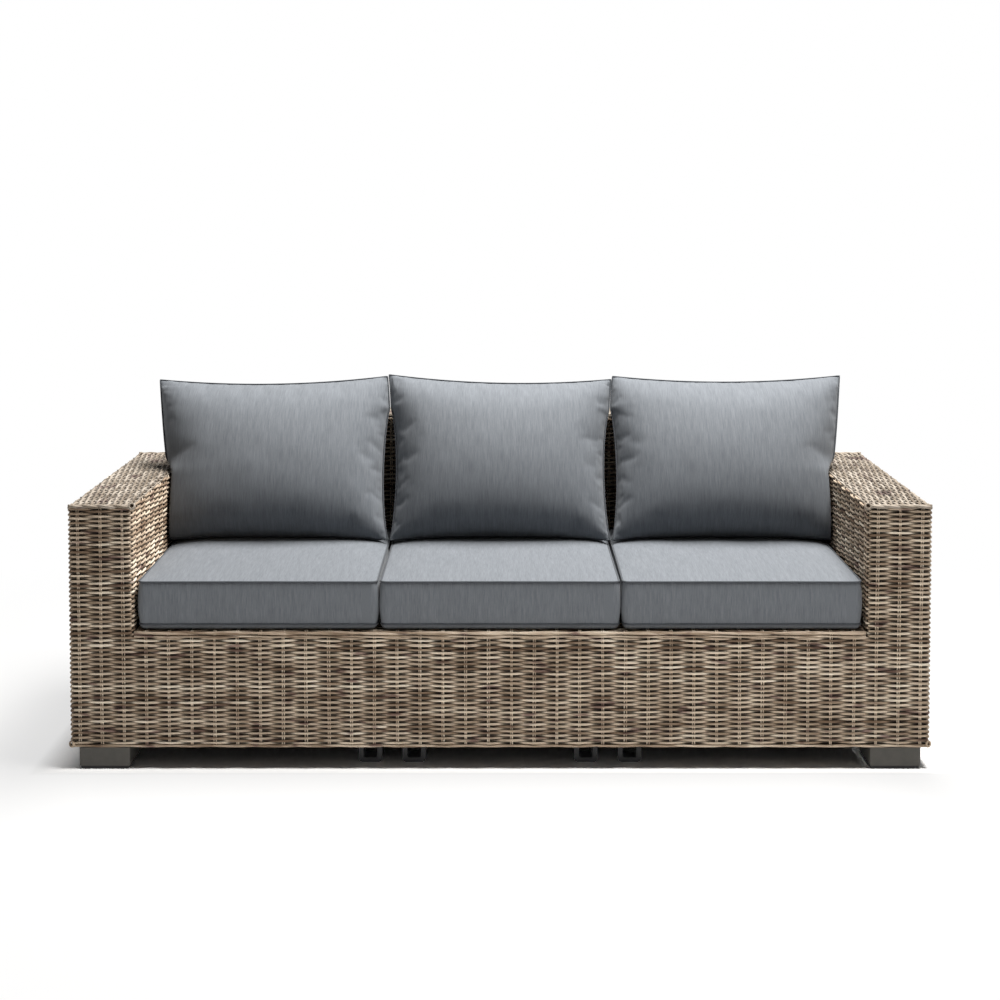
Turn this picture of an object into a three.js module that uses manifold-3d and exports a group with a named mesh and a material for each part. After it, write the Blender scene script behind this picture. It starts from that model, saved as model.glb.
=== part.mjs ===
// Three-seat garden sofa: a welded tube frame skinned with woven rattan, six loose cushions and eight feet.
// Millimetres, +Z up, +X along the seat, the front at -Y. The origin is on the floor under the middle.

import * as THREE from 'three';
import { mergeVertices } from 'three/addons/utils/BufferGeometryUtils.js';
import Module from 'manifold-3d';

const wasm = await Module();
wasm.setup();

// Overall sizes
const overallWidth = 2200;
const overallDepth = 880;
const armHeight = 681;
const armWidth = 169;
const backHeight = 820;
const backThickness = 170;
const footHeight = 56;
const apronTop = 356;

// Woven skins
const skinThickness = 12;
const strandRelief = 4.4;
const coursePitch = 12.5;
const coursePeakStartShare = 0.28;
const coursePeakEndShare = 0.72;
const borderHeight = 9;
const borderRelief = 1.4;
const deckThickness = 8;
const deckRise = 2;
const skinCornerRadius = 15;
const cornerSteps = 2;

// Frame tube
const tubeSize = 25;
const tubeWall = 1.6;
const tubeCornerRadius = 5;
const ventRadius = 3;
const tubeCornerSteps = 1;
const seatBarCount = 2;
const backUprightSpanShare = 1 / 3;

// Clearances
const fitGap = 0.25;
const cushionSideGap = 6;
const cushionGap = 3;
const cushionRestGap = 0.7;
const cushionFrontInset = 12;
const cutOverrun = 5;

// Corner feet and their glides
const footWidth = 130;
const footFrontInset = 5;
const footSideInset = 25;
const footWall = 4;
const footCornerRadius = 3;
const glideHeight = 8;
const glideInset = 3;
const glideEdgeRadius = 3;

// Middle feet, open loops under the low joists
const loopFootWidth = 60;
const loopFootDepth = 60;
const loopFootWall = 12;
const loopFootTopWall = 8;
const loopFootCornerRadius = 9;
const loopFootInset = 58;
const outerLoopFootX = 335;
const innerLoopFootX = 222;

// Seat cushions
const seatSeamHeight = 122;
const seatLowerSeamRise = 13;
const seatCrown = 20;
const seatSidePull = 3;
const seatBottomInset = 10;
const seatCornerRadius = 20;
const seatCornerSteps = 6;
const seatCrownRingShares = [0.93, 0.78, 0.56, 0.3];
const seatCrownRise = 2.2;

// Back cushions
const middleBackCushionFlare = 17;
const middleBackCushionFootFlare = 1.7;
const middleBackCushionRise = 4;
const backCushionFootGap = 8;
const backCushionTopGap = 5;
const backCushionArmGap = 2;
const backCushionFootOverhang = 6;
const backCushionArmOverhang = 60;
const backCushionArmLift = -6;
const backCushionArmSlope = 0.6;
const backCushionSidePull = 12;
const backCushionInnerPull = 15;
const backCushionEndPull = 19;
const backCushionHeight = 486;
const backCushionThickness = 212;
const backCushionEdge = 7;
const backCushionRecline = THREE.MathUtils.degToRad(25);
const backCushionAcross = 14;
const backCushionUp = 20;
const backCushionFullnessShare = 0.52;

// Places worked out from the sizes above
const halfWidth = overallWidth / 2;
const halfDepth = overallDepth / 2;
const armInner = halfWidth - armWidth;
const backInnerY = halfDepth - backThickness;
const skinBottom = footHeight;
const deckTop = apronTop + deckRise;
const railTop = deckTop - deckThickness;
const tubeInset = skinThickness + fitGap;
const armSkinTop = armHeight - skinCornerRadius;
const backSkinTop = backHeight - skinCornerRadius;
const armFrameTop = armHeight - skinThickness - fitGap;
const backFrameTop = backHeight - skinThickness - fitGap;
const lowRailTop = footHeight + tubeSize;
const sides = { left: -1, right: 1 };

// Finishes
function finish(color, roughness, metalness = 0) {
  return () => new THREE.MeshStandardMaterial({ color, roughness, metalness });
}

const weaveMaterial = finish(0x8c7c69, 0.82);
const weaveTopMaterial = finish(0xa7988a, 0.8);
const frameMaterial = finish(0x3b3936, 0.55, 0.6);
const footMaterial = finish(0x4a4a48, 0.5, 0.3);
const rubberMaterial = finish(0x18191a, 0.7);
const fabricMaterial = finish(0x747c85, 0.95);

const sofa = new THREE.Group();

function addPiece(name, geometry, material) {
  const mesh = new THREE.Mesh(geometry, material);
  mesh.name = name;
  sofa.add(mesh);
  return mesh;
}

// Closed mesh from points and triangles, turned right side out.
function closedGeometry(points, triangles) {
  const a = new THREE.Vector3();
  const b = new THREE.Vector3();
  const c = new THREE.Vector3();
  let volume = 0;
  for (const [i, j, k] of triangles) {
    a.fromArray(points[i]);
    b.fromArray(points[j]);
    c.fromArray(points[k]);
    volume += a.dot(b.cross(c));
  }
  const faces = volume < 0 ? triangles.map(([i, j, k]) => [i, k, j]) : triangles;
  const geometry = new THREE.BufferGeometry();
  geometry.setAttribute('position', new THREE.Float32BufferAttribute(points.flat(), 3));
  geometry.setIndex(faces.flat());
  geometry.computeVertexNormals();
  return geometry;
}

function toManifold(geometry) {
  const bare = geometry.clone();
  bare.deleteAttribute('normal');
  bare.deleteAttribute('uv');
  const merged = mergeVertices(bare);
  const vertProperties = Float32Array.from(merged.attributes.position.array);
  const triVerts = Uint32Array.from(merged.index.array);
  return new wasm.Manifold(new wasm.Mesh({ numProp: 3, vertProperties, triVerts }));
}

function fromManifold(solid) {
  const mesh = solid.getMesh();
  const geometry = new THREE.BufferGeometry();
  geometry.setAttribute('position', new THREE.Float32BufferAttribute(mesh.vertProperties, 3));
  geometry.setIndex(Array.from(mesh.triVerts));
  geometry.computeVertexNormals();
  return geometry;
}

// Box between two corners.
function boxGeometry([x0, y0, z0], [x1, y1, z1]) {
  const geometry = new THREE.BoxGeometry(x1 - x0, y1 - y0, z1 - z0);
  geometry.translate((x0 + x1) / 2, (y0 + y1) / 2, (z0 + z1) / 2);
  return geometry;
}

function roundedRectangle(width, height, radius, ShapeType = THREE.Shape) {
  const x = width / 2;
  const y = height / 2;
  const outline = new ShapeType();
  outline.moveTo(radius - x, -y);
  outline.lineTo(x - radius, -y);
  outline.absarc(x - radius, radius - y, radius, -Math.PI / 2, 0);
  outline.lineTo(x, y - radius);
  outline.absarc(x - radius, y - radius, radius, 0, Math.PI / 2);
  outline.lineTo(radius - x, y);
  outline.absarc(radius - x, y - radius, radius, Math.PI / 2, Math.PI);
  outline.lineTo(-x, radius - y);
  outline.absarc(radius - x, radius - y, radius, Math.PI, Math.PI * 1.5);
  return outline;
}

function rectanglePath(width, height) {
  const x = width / 2;
  const y = height / 2;
  const outline = new THREE.Path();
  outline.moveTo(-x, -y);
  outline.lineTo(-x, y);
  outline.lineTo(x, y);
  outline.lineTo(x, -y);
  outline.lineTo(-x, -y);
  return outline;
}

// Square tube with open ends, from start to end along one axis, its centre line on the given place.
function tubeGeometry(axis, start, end, first, second) {
  const section = roundedRectangle(tubeSize, tubeSize, tubeCornerRadius);
  const bore = tubeSize - 2 * tubeWall;
  section.holes.push(rectanglePath(bore, bore));
  const depth = end - start;
  const geometry = new THREE.ExtrudeGeometry(section,
    { depth, bevelEnabled: false, curveSegments: tubeCornerSteps });
  if (axis === 'z') {
    geometry.translate(first, second, start);
  } else if (axis === 'y') {
    geometry.rotateX(-Math.PI / 2);
    geometry.translate(first, start, second);
  } else {
    geometry.rotateY(Math.PI / 2);
    geometry.translate(start, first, second);
  }
  return geometry;
}

// Welded tube loop lying flat: hollow all round, with one drain hole in its underside.
function tubeLoopGeometry(x0, x1, y0, y1, top) {
  const width = x1 - x0;
  const depth = y1 - y0;
  const bar = (inset, height, rise) => {
    const outer = roundedRectangle(width - 2 * inset, depth - 2 * inset, tubeCornerRadius);
    const insideWidth = width - 2 * tubeSize + 2 * inset;
    const insideDepth = depth - 2 * tubeSize + 2 * inset;
    outer.holes.push(rectanglePath(insideWidth, insideDepth));
    const solid = new THREE.ExtrudeGeometry(outer,
      { depth: height, bevelEnabled: false, curveSegments: tubeCornerSteps });
    solid.translate((x0 + x1) / 2, (y0 + y1) / 2, rise);
    return solid;
  };
  const bottom = top - tubeSize;
  const shell = toManifold(bar(0, tubeSize, bottom));
  const cavity = toManifold(bar(tubeWall, tubeSize - 2 * tubeWall, bottom + tubeWall));
  const vent = new THREE.CylinderGeometry(ventRadius, ventRadius, tubeWall + 2 * fitGap, 12);
  vent.rotateX(Math.PI / 2);
  vent.translate(x0 + tubeSize / 2, (y0 + y1) / 2, bottom + tubeWall / 2);
  return fromManifold(shell.subtract(cavity).subtract(toManifold(vent)));
}

// Rises and offsets of woven courses between two heights: valleys and flat-topped strands by turns.
function courseOutline(low, high, relief) {
  const count = Math.max(1, Math.round((high - low) / coursePitch));
  const pitch = (high - low) / count;
  const outline = [];
  for (let i = 0; i < count; i += 1) {
    const base = low + i * pitch;
    outline.push([-relief, base]);
    outline.push([0, base + pitch * coursePeakStartShare]);
    outline.push([0, base + pitch * coursePeakEndShare]);
  }
  outline.push([-relief, high]);
  return outline;
}

// A rolled border strand, proud of the courses.
function borderOutline(low, high) {
  const middle = (low + high) / 2;
  const quarter = (high - low) / 4;
  return [
    [-strandRelief, low],
    [borderRelief / 2, middle - quarter],
    [borderRelief, middle],
    [borderRelief / 2, middle + quarter],
  ];
}

// Section of a woven wall: [offset, height] pairs, with a plain inside face.
function wallSection(low, high, { bottomBorder = false, topBorder = false } = {}) {
  const courseLow = bottomBorder ? low + borderHeight : low;
  const courseHigh = topBorder ? high - borderHeight : high;
  const outline = bottomBorder ? borderOutline(low, courseLow) : [];
  outline.push(...courseOutline(courseLow, courseHigh, strandRelief));
  if (topBorder) {
    outline.push(...borderOutline(courseHigh, high).slice(1));
    outline.push([-strandRelief, high]);
  }
  outline.push([-skinThickness, high]);
  outline.push([-skinThickness, low]);
  return outline;
}

// Carries a wall section along a plan path; the outside lies to the right of the way the path runs.
function sweepWall(path, section) {
  const normals = [];
  for (let i = 0; i + 1 < path.length; i += 1) {
    const direction = path[i + 1].clone().sub(path[i]).normalize();
    normals.push(new THREE.Vector2(direction.y, -direction.x));
  }
  const points = [];
  path.forEach((corner, i) => {
    const before = normals[Math.max(0, i - 1)];
    const after = normals[Math.min(normals.length - 1, i)];
    const mitre = before.clone().add(after).divideScalar(1 + before.dot(after));
    for (const [offset, height] of section) {
      points.push([corner.x + mitre.x * offset, corner.y + mitre.y * offset, height]);
    }
  });
  const count = section.length;
  const triangles = [];
  for (let i = 0; i + 1 < path.length; i += 1) {
    for (let j = 0; j < count; j += 1) {
      const a = i * count + j;
      const b = i * count + ((j + 1) % count);
      triangles.push([a, b, b + count], [a, b + count, a + count]);
    }
  }
  const flat = section.map(([offset, height]) => new THREE.Vector2(offset, height));
  const last = (path.length - 1) * count;
  for (const [i, j, k] of THREE.ShapeUtils.triangulateShape(flat, [])) {
    triangles.push([i, k, j], [last + i, last + j, last + k]);
  }
  return orientedByEdges(points, triangles);
}

// Makes the end caps agree with the walls whichever way the section was listed.
function orientedByEdges(points, triangles) {
  const owner = new Map();
  triangles.forEach((triangle, index) => {
    for (let k = 0; k < 3; k += 1) {
      const key = [triangle[k], triangle[(k + 1) % 3]].sort((p, q) => p - q).join(' ');
      if (!owner.has(key)) owner.set(key, []);
      owner.get(key).push(index);
    }
  });
  const done = new Array(triangles.length).fill(false);
  const queue = [0];
  done[0] = true;
  while (queue.length > 0) {
    const current = triangles[queue.pop()];
    for (let k = 0; k < 3; k += 1) {
      const from = current[k];
      const to = current[(k + 1) % 3];
      const key = [from, to].sort((p, q) => p - q).join(' ');
      for (const index of owner.get(key)) {
        if (done[index]) continue;
        const other = triangles[index];
        const same = other.some((corner, n) => corner === from && other[(n + 1) % 3] === to);
        if (same) triangles[index] = [other[0], other[2], other[1]];
        done[index] = true;
        queue.push(index);
      }
    }
  }
  return closedGeometry(points, triangles);
}

// Plan path with rounded inner corners.
function roundedPath(corners, radius) {
  const path = [corners[0]];
  for (let i = 1; i + 1 < corners.length; i += 1) {
    const back = corners[i - 1].clone().sub(corners[i]).normalize();
    const ahead = corners[i + 1].clone().sub(corners[i]).normalize();
    const centre = corners[i].clone().addScaledVector(back, radius).addScaledVector(ahead, radius);
    for (let step = 0; step <= cornerSteps; step += 1) {
      const turn = (step / cornerSteps) * (Math.PI / 2);
      const spoke = ahead.clone().multiplyScalar(-Math.cos(turn)).addScaledVector(back, -Math.sin(turn));
      path.push(centre.clone().addScaledVector(spoke, radius));
    }
  }
  path.push(corners[corners.length - 1]);
  return path;
}

const at = (x, y) => new THREE.Vector2(x, y);

// Straight woven panel between two plan points.
function panelGeometry(from, to, low, high, borders) {
  return sweepWall([from, to], wallSection(low, high, borders));
}

// One arm's woven wall: the lower wall is flush with the apron, and above it the inner face joins in.
function armSkinGeometry() {
  const inner = armInner + fitGap / 2;
  const upperCorners = [
    at(inner, backInnerY + skinThickness),
    at(inner, -halfDepth),
    at(halfWidth, -halfDepth),
    at(halfWidth, halfDepth),
    at(inner, halfDepth),
  ];
  const lowerCorners = [
    at(inner, -halfDepth),
    at(halfWidth, -halfDepth),
    at(halfWidth, halfDepth),
    at(inner, halfDepth),
  ];
  const upperSection = wallSection(apronTop, armSkinTop);
  const lowerSection = wallSection(skinBottom, apronTop, { bottomBorder: true });
  const upper = toManifold(sweepWall(roundedPath(upperCorners, skinCornerRadius), upperSection));
  const lower = toManifold(sweepWall(roundedPath(lowerCorners, skinCornerRadius), lowerSection));
  return fromManifold(upper.add(lower));
}

// The back's woven shell: the rear wall, and above the arms its ends, wrapped round to the inner face.
function backShellGeometry(reach) {
  const front = backInnerY + skinThickness + fitGap;
  const corners = [at(reach, front), at(reach, halfDepth), at(-reach, halfDepth), at(-reach, front)];
  const upperSection = wallSection(armSkinTop, backSkinTop);
  const lowerSection = wallSection(skinBottom, armSkinTop, { bottomBorder: true });
  const upper = toManifold(sweepWall(roundedPath(corners, skinCornerRadius), upperSection));
  const lower = toManifold(sweepWall([corners[1], corners[2]], lowerSection));
  return fromManifold(upper.add(lower));
}

// Outline of a cap: strands side by side across the width, with rounded long edges.
function capSection(width, drop) {
  const half = width / 2;
  const flatHalf = half - skinCornerRadius;
  const outline = [];
  const edge = (side) => {
    const arc = [];
    for (let step = 0; step <= cornerSteps; step += 1) {
      const turn = (step / cornerSteps) * (Math.PI / 2);
      const across = side * (flatHalf + skinCornerRadius * Math.cos(turn));
      arc.push([across, skinCornerRadius * (Math.sin(turn) - 1)]);
    }
    return arc;
  };
  outline.push(...edge(1));
  const ribs = courseOutline(-flatHalf, flatHalf, strandRelief).reverse();
  outline.push(...ribs.slice(1, -1).map(([rise, across]) => [across, rise]));
  outline.push(...edge(-1).reverse());
  outline.push([skinThickness - half, -skinCornerRadius]);
  outline.push([skinThickness - half, -drop]);
  outline.push([half - skinThickness, -drop]);
  outline.push([half - skinThickness, -skinCornerRadius]);
  return outline;
}

// Woven cap over an arm or the back, its strands along the length.
function capGeometry(width, length) {
  const section = new THREE.Shape(capSection(width, skinThickness).map(([x, y]) => at(x, y)));
  const geometry = new THREE.ExtrudeGeometry(section, { depth: length, bevelEnabled: false });
  geometry.rotateX(Math.PI / 2);
  geometry.translate(0, length / 2, 0);
  return geometry;
}

// Low frame: rails round the base and the joists that carry the middle feet.
function buildLowFrame() {
  const railX = halfWidth - tubeInset - tubeSize / 2;
  const railY = halfDepth - tubeInset - tubeSize / 2;
  const railZ = footHeight + tubeSize / 2;
  const railEnd = halfWidth - tubeInset - tubeCornerRadius;
  const between = railY - tubeSize / 2 - fitGap;
  addPiece('low_rail_front', tubeGeometry('x', -railEnd, railEnd, -railY, railZ), frameMaterial());
  addPiece('low_rail_back', tubeGeometry('x', -railEnd, railEnd, railY, railZ), frameMaterial());
  for (const [side, sign] of Object.entries(sides)) {
    const rail = tubeGeometry('y', -between, between, sign * railX, railZ);
    addPiece(`low_rail_${side}`, rail, frameMaterial());
    const joists = { outer: outerLoopFootX, inner: innerLoopFootX };
    for (const [place, x] of Object.entries(joists)) {
      const joist = tubeGeometry('y', -between, between, sign * x, railZ);
      addPiece(`low_joist_${side}_${place}`, joist, frameMaterial());
    }
  }
}

// Posts at the four corners of each arm, with a tube loop on top of them.
function buildArmFrames() {
  const postInnerX = armInner + tubeInset + tubeSize / 2;
  const postOuterX = halfWidth - tubeInset - tubeSize / 2;
  const postY = halfDepth - tubeInset - tubeSize / 2;
  const postLow = lowRailTop + fitGap;
  const postHigh = armFrameTop - tubeSize - fitGap;
  const columns = { inner: postInnerX, outer: postOuterX };
  const rows = { front: -postY, back: postY };
  for (const [side, sign] of Object.entries(sides)) {
    for (const [column, x] of Object.entries(columns)) {
      for (const [row, y] of Object.entries(rows)) {
        const post = tubeGeometry('z', postLow, postHigh, sign * x, y);
        addPiece(`arm_post_${side}_${row}_${column}`, post, frameMaterial());
      }
    }
    const near = sign * (postInnerX - tubeSize / 2);
    const far = sign * (postOuterX + tubeSize / 2);
    const loopY = postY + tubeSize / 2;
    const loop = tubeLoopGeometry(Math.min(near, far), Math.max(near, far), -loopY, loopY, armFrameTop);
    addPiece(`arm_top_frame_${side}`, loop, frameMaterial());
  }
}

// Seat frame: four rails between the posts and the bars that carry the woven deck.
function buildSeatFrame() {
  const railZ = railTop - fitGap - tubeSize / 2;
  const sideX = armInner + tubeInset + tubeSize / 2;
  const crossEnd = sideX - tubeSize / 2 - fitGap;
  const frontY = -(halfDepth - tubeInset - tubeSize / 2);
  const postFace = halfDepth - tubeInset - tubeSize;
  const backY = postFace - fitGap - tubeSize / 2;
  addPiece('seat_rail_front', tubeGeometry('x', -crossEnd, crossEnd, frontY, railZ), frameMaterial());
  addPiece('seat_rail_back', tubeGeometry('x', -crossEnd, crossEnd, backY, railZ), frameMaterial());
  for (const [side, sign] of Object.entries(sides)) {
    const sideEnd = postFace - fitGap;
    const rail = tubeGeometry('y', -sideEnd, sideEnd, sign * sideX, railZ);
    addPiece(`seat_rail_${side}`, rail, frameMaterial());
  }
  const barStart = frontY + tubeSize / 2 + fitGap;
  const barEnd = backY - tubeSize / 2 - fitGap;
  const barPitch = (2 * armInner) / (seatBarCount + 1);
  for (let i = 1; i <= seatBarCount; i += 1) {
    const bar = tubeGeometry('y', barStart, barEnd, i * barPitch - armInner, railZ);
    addPiece(`seat_bar_${i}`, bar, frameMaterial());
  }
}

// Back frame: uprights against the rear skin and a tube loop under the woven cap.
function buildBackFrame() {
  const uprightY = halfDepth - tubeInset - tubeSize / 2;
  const edgeX = armInner - tubeInset - tubeSize / 2;
  const low = lowRailTop + fitGap;
  const high = backFrameTop - tubeSize - fitGap;
  const columns = { outer: edgeX, inner: armInner * backUprightSpanShare };
  for (const [side, sign] of Object.entries(sides)) {
    for (const [column, x] of Object.entries(columns)) {
      const upright = tubeGeometry('z', low, high, sign * x, uprightY);
      addPiece(`back_upright_${side}_${column}`, upright, frameMaterial());
    }
  }
  const loopX = armInner - tubeInset;
  const loop = tubeLoopGeometry(-loopX, loopX, backInnerY + tubeInset, halfDepth - tubeInset, backFrameTop);
  addPiece('back_top_frame', loop, frameMaterial());
}

// Woven skins over the frame.
function buildSkins() {
  const reach = armInner - fitGap / 2;
  const apron = panelGeometry(at(-reach, -halfDepth), at(reach, -halfDepth), skinBottom, apronTop,
    { bottomBorder: true, topBorder: true });
  addPiece('weave_front_apron', apron, weaveMaterial());

  const armSkin = armSkinGeometry();
  const mirrored = armSkin.clone().scale(-1, 1, 1);
  mirrored.setIndex(flippedIndex(armSkin));
  mirrored.computeVertexNormals();
  addPiece('weave_arm_right', armSkin, weaveMaterial());
  addPiece('weave_arm_left', mirrored, weaveMaterial());

  const armCapWidth = armWidth - fitGap;
  const armCapX = armInner + fitGap / 2 + armCapWidth / 2;
  for (const [side, sign] of Object.entries(sides)) {
    const cap = capGeometry(armCapWidth, overallDepth);
    cap.translate(sign * armCapX, 0, armHeight);
    addPiece(`weave_arm_top_${side}`, liftOffWall(cap), weaveTopMaterial());
  }

  addPiece('weave_back_shell', backShellGeometry(reach), weaveMaterial());
  const innerFace = panelGeometry(at(-reach, backInnerY), at(reach, backInnerY), railTop, backSkinTop);
  addPiece('weave_back_inner', innerFace, weaveMaterial());

  const backCap = capGeometry(backThickness, 2 * reach);
  backCap.rotateZ(Math.PI / 2);
  backCap.translate(0, halfDepth - backThickness / 2, backHeight);
  addPiece('weave_back_top', liftOffWall(backCap), weaveTopMaterial());

  buildDeck(reach);
}

// The cap's lower edges stand a fit gap above the walls that they cover.
function liftOffWall(cap) {
  const position = cap.attributes.position;
  let low = Infinity;
  for (let i = 0; i < position.count; i += 1) low = Math.min(low, position.getZ(i));
  for (let i = 0; i < position.count; i += 1) {
    if (position.getZ(i) < low + fitGap) position.setZ(i, low + fitGap);
  }
  return cap;
}

function flippedIndex(geometry) {
  const index = Array.from(geometry.index.array);
  for (let i = 0; i < index.length; i += 3) {
    [index[i + 1], index[i + 2]] = [index[i + 2], index[i + 1]];
  }
  return index;
}

// Woven deck under the cushions, its strands along the seat.
function buildDeck(reach) {
  const front = skinThickness + fitGap - halfDepth;
  const back = backInnerY - fitGap;
  const length = 2 * reach - 2 * fitGap;
  const courses = courseOutline(front, back, strandRelief).map(([rise, y]) => at(y, rise));
  const outline = [...courses, at(back, -deckThickness), at(front, -deckThickness)];
  const section = new THREE.Shape(outline);
  const geometry = new THREE.ExtrudeGeometry(section, { depth: length, bevelEnabled: false });
  geometry.rotateX(Math.PI / 2);
  geometry.rotateZ(Math.PI / 2);
  geometry.translate(-length / 2, 0, deckTop);
  addPiece('weave_seat_deck', geometry, weaveMaterial());
}

// Corner foot: a moulded cup, open below, closed by its glide.
function buildCornerFeet() {
  const centreX = halfWidth - footSideInset - footWidth / 2;
  const centreY = halfDepth - footFrontInset - footWidth / 2;
  const cupHeight = footHeight - glideHeight - 2 * fitGap;
  const outer = new THREE.ExtrudeGeometry(roundedRectangle(footWidth, footWidth, footCornerRadius),
    { depth: cupHeight, bevelEnabled: false, curveSegments: tubeCornerSteps });
  const inside = footWidth / 2 - footWall;
  const hollow = boxGeometry([-inside, -inside, -cutOverrun], [inside, inside, cupHeight - footWall]);
  const cup = fromManifold(toManifold(outer).subtract(toManifold(hollow)));
  const padWidth = footWidth - 2 * glideInset;
  const padRing = (inset, height) =>
    roundedRing(padWidth - 2 * inset, padWidth - 2 * inset, footCornerRadius, height, cornerSteps);
  const padRings = [
    padRing(glideEdgeRadius, 0),
    padRing(glideEdgeRadius * (1 - Math.SQRT1_2), glideEdgeRadius * (1 - Math.SQRT1_2)),
    padRing(0, glideEdgeRadius),
    padRing(0, glideHeight),
  ];
  const pad = loftRings(padRings, [0, 0, 0], [0, 0, glideHeight]);
  const ends = { front: -centreY, back: centreY };
  for (const [end, y] of Object.entries(ends)) {
    for (const [side, sign] of Object.entries(sides)) {
      const foot = cup.clone().translate(sign * centreX, y, glideHeight + fitGap);
      const glide = pad.clone().translate(sign * centreX, y, 0);
      addPiece(`foot_${end}_${side}`, foot, footMaterial());
      addPiece(`foot_glide_${end}_${side}`, glide, rubberMaterial());
    }
  }
}

// Middle foot: an open moulded loop screwed up into its joist.
function buildLoopFeet() {
  const height = footHeight - fitGap;
  const outline = roundedRectangle(loopFootWidth, height, loopFootCornerRadius);
  const openWidth = loopFootWidth - 2 * loopFootWall;
  const openHeight = height - loopFootWall - loopFootTopWall;
  const opening = roundedRectangle(openWidth, openHeight, loopFootCornerRadius / 2, THREE.Path);
  const shift = (loopFootWall - loopFootTopWall) / 2;
  const moved = opening.getPoints(tubeCornerSteps).map((point) => at(point.x, point.y + shift));
  outline.holes.push(new THREE.Path(moved));
  const loop = new THREE.ExtrudeGeometry(outline,
    { depth: loopFootDepth, bevelEnabled: false, curveSegments: tubeCornerSteps });
  loop.rotateX(Math.PI / 2);
  loop.translate(0, loopFootDepth / 2, height / 2);
  const centreY = halfDepth - loopFootInset - loopFootDepth / 2;
  const rows = { front: -centreY, back: centreY };
  const columns = { outer: outerLoopFootX, inner: innerLoopFootX };
  for (const [row, y] of Object.entries(rows)) {
    for (const [side, sign] of Object.entries(sides)) {
      for (const [column, x] of Object.entries(columns)) {
        const foot = loop.clone().translate(sign * x, y, 0);
        addPiece(`loop_foot_${row}_${side}_${column}`, foot, rubberMaterial());
      }
    }
  }
}

// Seat cushions: boxed, seamed top and bottom, crowned, with the seams drawn in.
const seatCushionWidth = (2 * armInner - 2 * cushionSideGap - 2 * cushionGap) / 3;
const seatCushionFront = cushionFrontInset - halfDepth;
const seatCushionDepth = backInnerY - cushionSideGap - seatCushionFront;
const seatCushionBase = deckTop + fitGap;
const seatCentreY = seatCushionFront + seatCushionDepth / 2;
const seatCushionPlaces = {
  left: -(seatCushionWidth + cushionGap),
  middle: 0,
  right: seatCushionWidth + cushionGap,
};

function seatCrownAt(across, along) {
  const u = Math.min(1, Math.abs(across) / (seatCushionWidth / 2));
  const v = Math.min(1, Math.abs(along) / (seatCushionDepth / 2));
  const fall = (1 - u ** seatCrownRise) * (1 - v ** seatCrownRise);
  return seatCrown * fall;
}

function roundedRing(width, depth, radius, height, steps = seatCornerSteps) {
  const ring = [];
  const corners = [[1, -1], [1, 1], [-1, 1], [-1, -1]];
  corners.forEach(([sx, sy], corner) => {
    for (let step = 0; step <= steps; step += 1) {
      const turn = (corner - 1 + step / steps) * (Math.PI / 2);
      const x = sx * (width / 2 - radius) + radius * Math.cos(turn);
      const y = sy * (depth / 2 - radius) + radius * Math.sin(turn);
      ring.push([x, y, height]);
    }
  });
  return ring;
}

// Closed solid through a pile of rings, with a point at each end.
function loftRings(rings, firstTip, lastTip) {
  const count = rings[0].length;
  const points = [...rings.flat(), firstTip, lastTip];
  const triangles = [];
  for (let i = 0; i + 1 < rings.length; i += 1) {
    for (let j = 0; j < count; j += 1) {
      const a = i * count + j;
      const b = i * count + ((j + 1) % count);
      triangles.push([a, b, b + count], [a, b + count, a + count]);
    }
  }
  const first = points.length - 2;
  const last = points.length - 1;
  const top = (rings.length - 1) * count;
  for (let j = 0; j < count; j += 1) {
    const next = (j + 1) % count;
    triangles.push([first, next, j], [last, top + j, top + next]);
  }
  return closedGeometry(points, triangles);
}

function seatCushionGeometry() {
  const drawn = 2 * seatSidePull;
  const lowerSeam = seatLowerSeamRise;
  const ring = (pull, height, radius = seatCornerRadius) =>
    roundedRing(seatCushionWidth - pull, seatCushionDepth - pull, radius, height);
  const rings = [
    ring(drawn + 2 * seatBottomInset, 0, seatCornerRadius - seatBottomInset),
    ring(drawn, lowerSeam),
    ring(0, (lowerSeam * 2 + seatSeamHeight) / 3),
    ring(0, (lowerSeam + seatSeamHeight * 2) / 3),
    ring(drawn, seatSeamHeight),
  ];
  const seam = ring(drawn, seatSeamHeight);
  for (const share of seatCrownRingShares) {
    rings.push(seam.map(([x, y, z]) => [x * share, y * share, z + seatCrownAt(x * share, y * share)]));
  }
  return loftRings(rings, [0, 0, 0], [0, 0, seatSeamHeight + seatCrown]);
}

// Back cushions: knife-edged pillows with pointed corners, edges drawn in between them. The outer two press flat
// against the arms beside them, and spread out above them.
const seatPitch = seatCushionWidth + cushionGap;
const middleFootReach = seatCushionWidth / 2 + middleBackCushionFootFlare;
const middleTopReach = seatCushionWidth / 2 + middleBackCushionFlare;
const armFace = armInner - backCushionArmGap;
const armRoom = armHeight + backCushionArmLift - deckTop - seatSeamHeight;

// How far the pillow's two side seams stand from the middle of its seat, at a share of its height.
function pillowSides(rise, fan) {
  const bow = 4 * rise * (1 - rise);
  if (fan === 0) {
    const flare = (middleTopReach - middleFootReach) * rise ** middleBackCushionRise;
    const reach = middleFootReach + flare - backCushionSidePull * bow;
    return [-reach, reach];
  }
  const footNear = middleFootReach + backCushionFootGap;
  const topNear = middleTopReach + backCushionTopGap;
  const near = footNear + (topNear - footNear) * rise + backCushionInnerPull * bow;
  const overhang = backCushionFootOverhang + (backCushionArmOverhang - backCushionFootOverhang) * rise;
  const far = armFace + overhang;
  return fan > 0 ? [near - seatPitch, far - seatPitch] : [seatPitch - far, seatPitch - near];
}

// Presses a point of an outer pillow flat against the arm, or lets it out above the arm.
function besideArm(across, height, fan) {
  const room = armFace - seatPitch + Math.max(0, height - armRoom) * backCushionArmSlope;
  return fan * Math.min(fan * across, room);
}

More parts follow.
